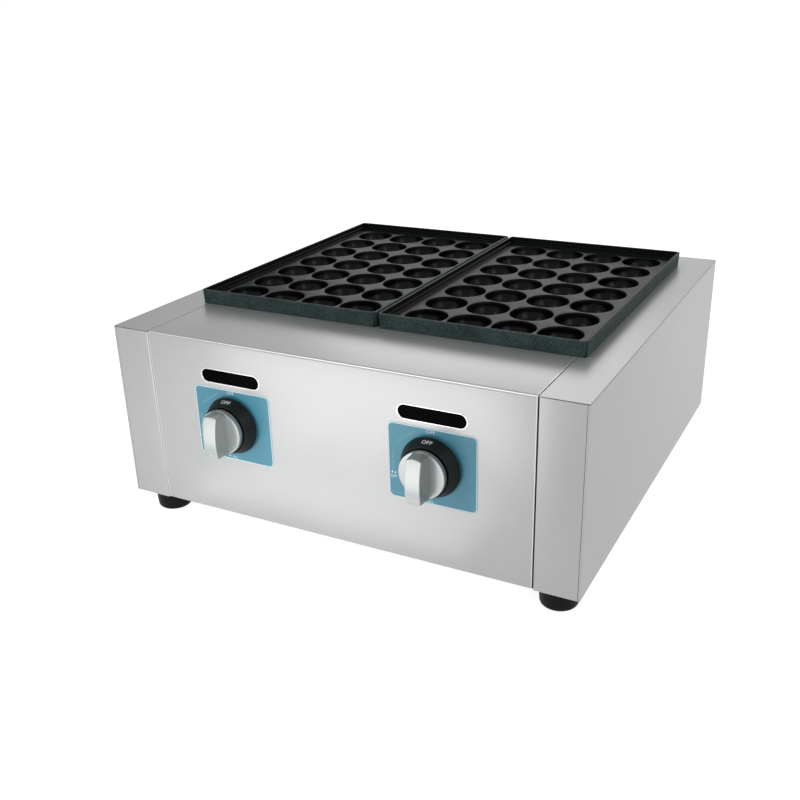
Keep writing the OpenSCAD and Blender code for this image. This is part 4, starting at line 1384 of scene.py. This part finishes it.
@dataclass
class Plate(Sided):
    """A printed label plate with a hole for the knob, its words, marks and a scale of ticks.

    Attributes:
        corner: Its corner radius.
        hole_r: The hole's radius.
        face: Where its flat front ends, as a share of the way out to its edge.
        edge_fall: How far its front falls from there to the edge.
        ink_t: The print's thickness.
        words: Its words.
        ticks: Its rows of ticks.
        flames: The two flames beside the word at its left.
        arrow: The corners of the arrow beside the word at its foot, in millimetres about the middle.
    """

    corner: float = 5 * MM
    hole_r: float = 21 * MM
    face: float = 0.998
    edge_fall: float = 0.1 * MM
    ink_t: float = 0.06 * MM
    words: tuple[Word, ...] = (
        Word("OFF", -0.8, 31.4, 3.3), Word("ON", -2.4, -32.3, 2.7), Word("ON", -36.0, -15.4, 2.7, 12.0),
    )
    ticks: tuple[TickRow, ...] = (
        TickRow((-31.8, 18.0), (-15.8, 29.4), 12, 1.7),
        TickRow((-36.1, 6.0), (-36.1, -8.0), 10, 1.6),
        TickRow((-37.5, -30.2), (-27.3, -30.2), 9, 0.9),
    )
    flames: tuple[Flame, ...] = (Flame((-37.2, -11.2), 3.4), Flame((-34.3, -11.5), 3.0))
    arrow: tuple[Pair, ...] = ((-9.0, -32.0), (-6.8, -32.0), (-7.9, -30.2))

    def __post_init__(self) -> None:
        """Reads the plate's box."""
        self.low, self.high = self.box("label_plate")
        self.middle = (self.low + self.high) / 2
        self.half = ((self.high.x - self.low.x) / 2, (self.high.z - self.low.z) / 2)
        knob_low, knob_high = self.box("knob_skirt")
        self.axis_up = (knob_low.z + knob_high.z) / 2 - self.middle.z

    def sheet(self) -> Shell:
        """The plate: rings between the round hole and the rounded edge, front, rim and back.

        Returns:
            The plate, closed.
        """
        wide, tall = self.half
        edge = rounded_box((-wide, wide), (-tall, tall), self.corner, 8)
        share = np.linspace(0, 1, 4, endpoint=False)[None, :, None]
        dense = (edge[:, None] + (np.roll(edge, -1, 0) - edge)[:, None] * share).reshape(-1, 2)
        hole = self.hole_r * ways(np.arctan2(dense[:, 1], dense[:, 0])) + [0, self.axis_up]
        front, back = -self.low.y, -self.high.y
        loops = np.stack([hole, hole, (hole + dense) / 2, dense * self.face, dense, dense, hole])
        levels = np.array([back, front, front, front, front - self.edge_fall, back, back])
        rings = lifted(loops, levels[:, None]) + [self.middle.x, self.middle.z, 0]
        return Shell.grid(Facing.FRONT.turn(rings), ring=True)

    def flat_print(self, outlines: list[np.ndarray], name: str, ink: bpy.types.Material) -> None:
        """Adds flat print.

        Args:
            outlines: What is printed, in millimetres about the plate's middle.
            name: The piece's name without its side.
            ink: Its material.
        """
        shell = Shell(np.zeros((0, 3)))
        for outline in outlines:
            at = outline * MM + [self.middle.x, self.middle.z]
            shell += Shell.prism(at, -self.low.y - self.ink_t / 2, -self.low.y + self.ink_t, Facing.FRONT)
        self.add(shell, name, Dress(ink, "label"))

    def print_word(self, number: int, word: Word) -> None:
        """Adds one of the words.

        Args:
            number: Its place in the list of words.
            word: The word.
        """
        mesh = cut_word(word.text, word.tall * MM, self.ink_t)
        spin = Matrix.Rotation(math.radians(word.turn), 4, "Z")
        stand = Matrix.Rotation(math.radians(90), 4, "X")
        at = Matrix.Translation((self.middle.x + word.x * MM, self.low.y, self.middle.z + word.z * MM))
        mesh.transform(at @ stand @ spin)
        mesh.name = self.named(f"plate_word_{number}")
        add_piece(cleaned(mesh), Dress(self.finishes.print, "label"), CHASSIS)

    def build(self) -> None:
        """Puts the plate and its print in the scene."""
        ink = PlateInk(self.named("plate_ink"), self.middle, self.half, self.corner)
        self.add(self.sheet(), "plate", Dress(ink.build(), "label", 40), replaces="label_plate")
        for number, word in enumerate(self.words):
            self.print_word(number, word)
        ticks = [outline for row in self.ticks for outline in row.outlines()]
        self.flat_print(ticks, "plate_ticks", self.finishes.pale_print)
        marks = [flame.outline() for flame in self.flames] + [np.array(self.arrow)]
        self.flat_print(marks, "plate_marks", self.finishes.print)


@dataclass
class Knob(Sided):
    """A push-and-turn knob: a conical skirt, and a silver grip with a bowed bar across its disc.

    Attributes:
        skirt_d: The skirt's depth.
        skirt_front_r: The skirt's radius at its front.
        lip: The height of the upright lip at the skirt's back.
        hub_r: The radius of the hub inside the skirt, in millimetres.
        hub_t: The skirt's thickness at the hub, in millimetres.
        web_t: Its thickness between the hub and the cone, in millimetres.
        sunk_r: The radius of the sunk ring in its front, in millimetres.
        sunk_d: The ring's depth, in millimetres.
        disc_r: The grip's radius.
        disc_t: The disc's thickness.
        disc_edge: The rounding of the disc's front edge.
        dish: How far the disc's face is dished.
        bar_w: The bar's width at its front.
        bar_foot_w: The bar's width where it meets the disc.
        bar_edge: The rounding of the bar's edges.
        inset: How far inside the disc's edge the bar's ends lie.
        bow_r: The radius of the bar's bowed front at its foremost line.
        bow_down: How far the front's foremost line is under the axis.
        draft: How much nearer to the axis the bar's ends are at its front.
        sink: Where the bar starts inside the disc, as a share of the disc's thickness.
        foot_edge: How much more the bar's lower end is rounded.
        foot_from: Where that starts under the axis and where it is full, as shares of the disc's radius.
        word_tall: The height of the skirt's letters.
        word_at: The share of the cone's slant at which they stand.
    """

    skirt_d: float = 11.5 * MM
    skirt_front_r: float = 22.5 * MM
    lip: float = 0.9 * MM
    hub_r: float = 7.5
    hub_t: float = 8.5
    web_t: float = 4.5
    sunk_r: float = 18
    sunk_d: float = 2.4
    disc_r: float = 20.75 * MM
    disc_t: float = 5.0 * MM
    disc_edge: float = 0.6 * MM
    dish: float = 0.15 * MM
    bar_w: float = 13.5 * MM
    bar_foot_w: float = 14.6 * MM
    bar_edge: float = 0.7 * MM
    inset: float = 0.05 * MM
    bow_r: float = 74 * MM
    bow_down: float = 5 * MM
    draft: float = 0.9 * MM
    sink: float = 0.4
    foot_edge: float = 1.3 * MM
    foot_from: Pair = (0.9, 0.96)
    word_tall: float = 3.9 * MM
    word_at: float = 0.52

    def __post_init__(self) -> None:
        """Reads the knob's boxes and its axis."""
        low, high = self.box("knob_skirt")
        self.axis = Vector(((low.x + high.x) / 2, high.y, (low.z + high.z) / 2))
        self.skirt_r = (high.x - low.x) / 2
        grip_low, grip_high = self.box("knob_grip")
        self.grip_back = grip_high.y
        self.grip_depth = grip_high.y - grip_low.y
        self.body = self.named("knob")

    def skirt(self) -> Shell:
        """The skirt's section turned about the knob's axis: a hollow cone with a sunk ring at its front.

        Returns:
            The skirt.
        """
        r, f, d = self.skirt_r / MM, self.skirt_front_r / MM, self.skirt_d / MM
        gap = (self.axis.y - self.grip_back) / MM
        hub, web, sunk = d - self.hub_t, d - self.web_t, d - self.sunk_d
        wall, shoulder, front_t, land, slope = 2.4, 2.5, 4.2, 0.9, 0.2
        corners = [
            (0, hub, 0), (self.hub_r, hub, 0.3), (self.hub_r, web, 0.6), (f - shoulder, d - front_t, 1),
            (r - wall, 0, 0.2), (r, 0, 0.4), (r, self.lip / MM, 0.5), (f, d, 0.4), (f - land, d, 0.25),
            (f - land - slope, sunk, 0.3), (self.sunk_r, sunk, 0.2), (self.sunk_r, gap, 0.1), (0, gap, 0),
        ]
        return Shell.turned(rounded(corners) * MM, self.axis, Facing.FRONT, 128)

    def disc(self) -> Shell:
        """The disc: a section turned about the axis, with a rounded front edge.

        Its face is dished as a parabola, deepest in the middle.

        Returns:
            The disc.
        """
        r, t, edge = self.disc_r, self.disc_t, self.disc_edge
        back_edge = 0.3 * MM
        turn = np.linspace(0, math.pi / 2, 6)
        round_r = r - edge + edge * np.cos(turn)
        round_h = t - edge + edge * np.sin(turn)
        inner = np.linspace(r - edge, 0, 12)[1:]
        face = t - self.dish * (1 - (inner / (r - edge)) ** 2)
        radius = np.concatenate([[0, r - back_edge, r], round_r, inner])
        height = np.concatenate([[0, 0, back_edge], round_h, face])
        at = Vector((self.axis.x, self.grip_back, self.axis.z))
        return Shell.turned(np.stack([radius, height], axis=-1), at, Facing.FRONT, 160)

    def bow(self, up: np.ndarray) -> np.ndarray:
        """The height of the bar's front, which falls as the square of the way from a line under the axis."""
        return self.grip_depth - (up + self.bow_down) ** 2 / (2 * self.bow_r)

    def footprint(self) -> np.ndarray:
        """The bar's outline on the disc: straight sides in eight parts, and ends along the disc's edge.

        Returns:
            Its points.
        """
        reach = self.disc_r - self.inset
        corner = math.asin(self.bar_foot_w / 2 / reach)
        head = math.pi / 2 + np.linspace(-corner, corner, 15)
        ends = np.stack([head, head + math.pi])
        radii = np.zeros(ends.shape)
        radii[:, [0, -1]] = self.bar_edge
        sides = rounded(lifted(reach * ways(ends), radii).reshape(-1, 3))
        step = np.roll(sides, -1, 0) - sides
        parts = np.where(np.hypot(step[:, 0], step[:, 1]) > self.disc_r / 2, 8, 1)
        side = np.repeat(np.arange(len(sides)), parts)
        share = (np.arange(len(side)) - (np.cumsum(parts) - parts)[side]) / parts[side]
        return sides[side] + step[side] * share[:, None]

    def bar(self) -> Shell:
        """The bar: rings from its footprint up its drafted walls, round the front edge and in to its middle.

        The front outline is the footprint drawn in by the draft. Over the wall, the rings follow a quarter
        circle inward, wider at the foot, and lie on the bow from there to the middle line. The footprint
        lies inside the disc.

        Returns:
            The bar about the grip's back, closed.
        """
        base = self.footprint()
        way = np.roll(base, -1, 0) - np.roll(base, 1, 0)
        inward = np.stack([-way[:, 1], way[:, 0]], axis=-1) / np.hypot(way[:, :1], way[:, 1:])
        at_foot = np.interp(-base[:, 1] / self.disc_r, self.foot_from, (0, 1))
        edge = self.bar_edge + self.foot_edge * at_foot
        drawn = np.array([self.bar_w / self.bar_foot_w, 1 - self.draft / self.disc_r])
        front = base * drawn
        inner = front + inward * edge[:, None]
        top = self.bow(inner[:, 1])
        turn = np.linspace(0, math.pi / 2, 7)[:, None]
        over = front + inward * (edge * (1 - np.cos(turn)))[..., None]
        over_height = top - edge * (1 - np.sin(turn))
        share = np.linspace(0, 1, 7)[1:]
        cap = inner * np.stack([1 - share, np.ones_like(share)], axis=-1)[:, None]
        foot = lifted(base, self.sink * self.disc_t)[None]
        rings = [foot, lifted(over, over_height), lifted(cap, self.bow(cap[..., 1]))]
        shell = Shell.grid(np.concatenate(rings), ring=True)
        shell.caps = [list(range(len(base)))]
        return shell

    def placed(self, shell: Shell) -> Shell:
        """A shell drawn about the grip's back, put on the knob's axis and turned to the front."""
        origin = np.array([self.axis.x, self.grip_back, self.axis.z])
        return Shell(Facing.FRONT.turn(shell.points) + origin, shell.quads, shell.caps)

    def build(self) -> None:
        """Puts the skirt, its word, the grip and its mark in the scene."""
        black = Dress(self.finishes.skirt, "knob_black", 40)
        silver = Dress(self.finishes.silver, "knob_silver", 32)
        self.add(self.skirt(), "skirt", black, self.body, "knob_skirt")
        self.add(self.disc() + self.placed(self.bar()), "grip", silver, self.body, "knob_grip")
        self.skirt_word()
        self.pointer()

    def skirt_word(self) -> None:
        """Prints OFF on the skirt's cone.

        A letter's height runs down the slant from its share of it, its thickness stands out from the slant,
        and its place across becomes an angle round the axis from straight up.
        """
        word = cut_word("OFF", self.word_tall, 0.1 * MM)
        flat = np.zeros(len(word.vertices) * 3)
        word.vertices.foreach_get("co", flat)
        flat = flat.reshape(-1, 3)
        run = self.skirt_r - self.skirt_front_r
        rise = self.skirt_d - self.lip
        slant = math.hypot(run, rise)
        along = slant * self.word_at + flat[:, 1]
        radius = self.skirt_front_r + run * along / slant
        depth = self.skirt_d - rise * along / slant
        out = np.array([rise, run]) / slant
        radius = radius + out[0] * flat[:, 2]
        depth = depth + out[1] * flat[:, 2]
        angle = math.pi / 2 - flat[:, 0] / (self.skirt_r + self.skirt_front_r) * 2
        placed = np.stack([
            self.axis.x + radius * np.cos(angle), self.axis.y - depth, self.axis.z + radius * np.sin(angle),
        ], axis=-1)
        word.vertices.foreach_set("co", placed.ravel())
        word.name = self.named("skirt_word")
        add_piece(cleaned(word), Dress(self.finishes.print, "knob_black"), self.body)

    def pointer(self) -> None:
        """Prints a small mark near the bar's foot, on its bowed front."""
        half_w, low, high, depth, proud = 0.7, -16.4, -15.2, 0.3 * MM, 0.08 * MM
        outline = rounded_box((-half_w, half_w), (low, high), 0.5, 4) * MM
        top = float(self.bow(np.array((low + high) / 2 * MM)))
        mark = self.placed(Shell.prism(outline, top - depth, top + proud))
        self.add(mark, "grip_mark", Dress(self.finishes.print, "knob_silver"), self.body)


@dataclass
class Feet:
    """Four moulded rubber feet with rounded lower edges and a recess for a screw.

    Attributes:
        finishes: Every finish.
        plate_t: The rubber over the recess, in millimetres.
        recess_r: The recess's radius, in millimetres.
        taper: How much narrower a foot is at its bottom, in millimetres.
    """

    finishes: Finishes
    plate_t: float = 7.0
    recess_r: float = 7
    taper: float = 1.5

    def build(self) -> None:
        """Puts the feet in the scene."""
        for place in ("front_left", "front_right", "rear_left", "rear_right"):
            node = f"{place}_foot"
            low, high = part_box(node)
            radius = (high.x - low.x) / 2 / MM
            tall = (high.z - low.z) / MM
            deep = tall - self.plate_t
            corners = [
                (0, deep, 0), (self.recess_r, deep, 0.6), (self.recess_r, 0, 0.8),
                (radius - self.taper, 0, 4), (radius, tall, 0.8), (0, tall, 0),
            ]
            section = rounded(corners, 6) * MM
            at = Vector(((low.x + high.x) / 2, (low.y + high.y) / 2, low.z))
            mesh = Shell.turned(section, at, Facing.UP).mesh(f"{place}_rubber_foot")
            add_piece(mesh, Dress(self.finishes.rubber, "rubber", 40), CHASSIS, (node,))


@dataclass
class TapSpring(Sided):
    """The spring inside a tap: its solid's shape.

    Attributes:
        travel: How far the knob goes in; not used.
    """

    travel: float = 2.5 * MM

    def build(self) -> None:
        """Puts the spring in the scene, riding on the tap's body."""
        node = self.named("valve_spring")
        dress = Dress(self.finishes.zinc, "zinc", crease=50)
        piece = add_piece(copy_of(node, self.named("tap_spring")), dress, self.named("tap"), (node,))
        self.named("knob_push")
        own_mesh(piece)


@dataclass
class KeptNodes:
    """The nodes whose solids stay as they are, with their finishes."""

    finishes: Finishes

    def build(self) -> None:
        """Gives each kept node its material."""
        f = self.finishes
        table = {
            f.sheet_x: ("front_heat_shield", "glass_holder"),
            f.sheet_y: ("middle_partition",),
            f.burner: ("burner",),
            f.zinc: (
                "burner_front_stand", "burner_rear_stand", "valve_stem", "manifold_brackets",
                "foot_screws", "foot_nuts", "base_screws", "base_nuts", "valve_screws",
            ),
            f.brass: (
                "gas_jet", "valve_body", "valve_plug", "manifold_pipe", "feed_pipe",
                "gas_inlet_nozzle", "inlet_locknut",
            ),
            f.ivory: ("piezo_igniter",),
            f.lead: ("ignition_lead",),
            f.ceramic: ("spark_electrode",),
        }
        for material, names in table.items():
            nodes = [node for name in names for node in (name, *(side.node(name) for side in Side))]
            for node in nodes:
                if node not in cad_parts:
                    continue
                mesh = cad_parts[node].data
                mesh.materials.clear()
                mesh.materials.append(material)
                LOG.info("%s keeps its solid", node)


# Studio


@dataclass(frozen=True)
class Lamp:
    """A soft rectangular lamp, hidden from the camera.

    Attributes:
        name: The lamp's name.
        at: Its place.
        size: Its width and height.
        watts: Its power.
        aim: The point that it points at, by default the grill's middle.
    """

    name: str
    at: Triple
    size: Pair
    watts: float
    aim: Triple = (0, 0, 0.1)

    def build(self) -> None:
        """Puts the lamp in the scene."""
        data = bpy.data.lights.new(self.name, "AREA")
        data.shape = "RECTANGLE"
        data.size, data.size_y = self.size
        data.energy = self.watts
        lamp = bpy.data.objects.new(self.name, data)
        lamp.location = self.at
        lamp.rotation_mode = "QUATERNION"
        lamp.rotation_quaternion = (Vector(self.aim) - Vector(self.at)).to_track_quat("-Z", "Y")
        lamp.visible_camera = False
        bpy.context.scene.collection.objects.link(lamp)


@dataclass
class Studio:
    """The camera, the pale floor, the lamps and the white surroundings.

    Attributes:
        lens_px: The camera's focal length in pixels of the frame.
        centre_px: Where the camera's axis meets that frame.
        azimuth: The camera's bearing from the front, in degrees.
        elevation: Its height angle, in degrees.
        roll: Its roll, in degrees.
        distance: Its distance from the point that it turns about, in body widths.
        target: That point over the middle of the body's underside, in body widths across and up.
        frame_px: The frame's width in pixels, for which the two values above hold.
        sensor_mm: The sensor's width.
        floor_half: Half of the floor's width.
        floor_tones: Its darker and its paler colour.
        glow: How bright the floor is to the camera over the light that falls on it.
        sky: The colour of the world's plain light.
        ambient: The strength of the world's plain light.
        high_z: The z of a direction from which its reflection counts as high, and from which fully.
        left_x: The x of a direction up to which its reflection counts as left, and from which it doesn't.
        left_dim: How much light reflections that are high and left lose.
        top_z: The same as high_z for reflections from overhead.
        top_dim: How much light those lose.
        lamps: The lamps.
    """

    lens_px: float = 972.45
    centre_px: Pair = (407.0, 412.2)
    azimuth: float = 27.992
    elevation: float = 23.366
    roll: float = -1.418
    distance: float = 2.3189
    target: Pair = (-0.0909, 0.0621)
    frame_px: int = 800
    sensor_mm: float = 36
    floor_half: float = 40.0
    floor_tones: tuple[Colour, Colour] = (linear(186, 187, 188), linear(192, 193, 194))
    glow: float = 0.85
    sky: Colour = (0.98, 0.99, 1.0, 1.0)
    ambient: float = 0.42
    high_z: Pair = (0.05, 0.2)
    left_x: Pair = (-0.68, -0.52)
    left_dim: float = 0.5
    top_z: Pair = (0.6, 0.95)
    top_dim: float = 0.55
    lamps: tuple[Lamp, ...] = (
        Lamp("key", (-1.2, -2.2, 1.0), (1.6, 1.0), 1.5),
        Lamp("fill", (2.2, -1.2, 1.3), (1.2, 1.2), 9),
        Lamp("over", (-0.75, -1.15, 1.75), (0.9, 0.9), 9),
        Lamp("front", (-0.085, -0.433, 0.085), (0.36, 0.16), 0.3, (-0.085, -0.225, 0.085)),
        Lamp("low", (-0.043, -0.314, 0.005), (0.3, 0.1), 0.066, (-0.043, -0.3, 1.0)),
        Lamp("back", (-0.5, 1.25, 0.8), (0.8, 0.4), 1.6, (0.0, -0.2, 0.194)),
    )

    def camera(self) -> None:
        """Makes the camera."""
        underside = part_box("front_deck_panel")[0].z
        body_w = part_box("right_side_housing")[1].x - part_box("left_side_housing")[0].x
        az, el, roll = (math.radians(a) for a in (self.azimuth, self.elevation, self.roll))
        back = Vector((math.sin(az) * math.cos(el), -math.cos(az) * math.cos(el), math.sin(el)))
        right = Vector((math.cos(az), math.sin(az), 0))
        up = back.cross(right)
        side = right * math.cos(roll) + up * math.sin(roll)
        over = up * math.cos(roll) - right * math.sin(roll)
        data = bpy.data.cameras.new("camera")
        data.sensor_width = self.sensor_mm
        data.lens = self.lens_px / self.frame_px * data.sensor_width
        data.shift_x = -(self.centre_px[0] - self.frame_px / 2) / self.frame_px
        data.shift_y = (self.centre_px[1] - self.frame_px / 2) / self.frame_px
        camera = bpy.data.objects.new("camera", data)
        place = Vector((self.target[0], 0, self.target[1])) + back * self.distance
        place = place * body_w + Vector((0, 0, underside))
        camera.matrix_world = Matrix.Translation(place) @ Matrix((side, over, back)).transposed().to_4x4()
        bpy.context.scene.collection.objects.link(camera)
        bpy.context.scene.camera = camera

    @staticmethod
    def ray(graph: Graph, *kinds: str) -> Link:
        """1 for rays of these kinds, which are named as Light Path names them, and 0 for others."""
        path = graph.node("ShaderNodeLightPath").outputs
        return functools.reduce(Link.most, [Link(graph, path[f"Is {kind} Ray"]) for kind in kinds])

    def floor(self) -> None:
        """Makes the floor: white to the camera and in reflections, and still taking the object's shadow."""
        graph = Graph.material("studio_floor")
        speck = graph.noise(120 * MM, 2, 0.5)
        pale = graph.blend(speck, *self.floor_tones)
        matt_inputs = {"Base Color": pale, "Roughness": 1.0, "Specular IOR Level": 0.0}
        matt = graph.add("ShaderNodeBsdfPrincipled", None, matt_inputs)
        glow = graph.add("ShaderNodeEmission", None, {"Color": WHITE, "Strength": self.glow})
        dark = graph.add("ShaderNodeEmission", None, {"Color": BLACK, "Strength": 0})
        share = self.ray(graph, "Camera", "Glossy", "Transmission")
        lit = graph.add("ShaderNodeMixShader", None, {0: share, 1: dark, 2: glow})
        both = graph.add("ShaderNodeAddShader", None, {0: matt, 1: lit})
        graph.node("ShaderNodeOutputMaterial", None, {"Surface": both})
        mesh = bpy.data.meshes.new("floor")
        half = self.floor_half
        corners = [(-half, -half, 0), (half, -half, 0), (half, half, 0), (-half, half, 0)]
        mesh.from_pydata(corners, [], [(0, 1, 2, 3)])
        mesh.materials.append(graph.owner)
        floor = bpy.data.objects.new("floor", mesh)
        bpy.context.scene.collection.objects.link(floor)

    def surroundings(self) -> None:
        """Lights the world plainly and shows it white, dimmer in reflections high up and to the left."""
        world = bpy.data.worlds.new("studio")
        bpy.context.scene.world = world
        graph = Graph(world)
        x, _, z = graph.axes()
        left = 1.0 - x.step(*self.left_x)
        dim = (z.step(*self.high_z) * left * self.left_dim).most(z.step(*self.top_z) * self.top_dim)
        white = graph.add("ShaderNodeBackground", None, {"Color": WHITE, "Strength": 1.0})
        black = graph.add("ShaderNodeBackground", None, {"Color": BLACK, "Strength": 0.0})
        dimming = dim * self.ray(graph, "Glossy")
        seen = graph.add("ShaderNodeMixShader", None, {0: dimming, 1: white, 2: black})
        plain = graph.add("ShaderNodeBackground", None, {"Color": self.sky, "Strength": self.ambient})
        share = self.ray(graph, "Camera", "Glossy", "Transmission")
        mix = graph.add("ShaderNodeMixShader", None, {0: share, 1: plain, 2: seen})
        graph.node("ShaderNodeOutputWorld", None, {"Surface": mix})

    def build(self) -> None:
        """Sets the studio up."""
        bpy.context.scene.view_settings.view_transform = "Standard"
        self.camera()
        self.floor()
        self.surroundings()
        for lamp in self.lamps:
            lamp.build()


def main() -> None:
    logging.basicConfig(level=logging.INFO, format="%(name)s: %(message)s")
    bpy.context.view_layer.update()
    finishes = Finishes()
    steps = [Studio(), KeptNodes(finishes), MiddleSheets(finishes), Feet(finishes)]
    for side in Side:
        steps += [kind(side, finishes) for kind in (Housing, Pan, Window, Plate, Knob, TapSpring)]
    for step in steps:
        step.build()
        LOG.info("%s is in place", type(step).__name__)


if __name__ == "__main__":
    main()
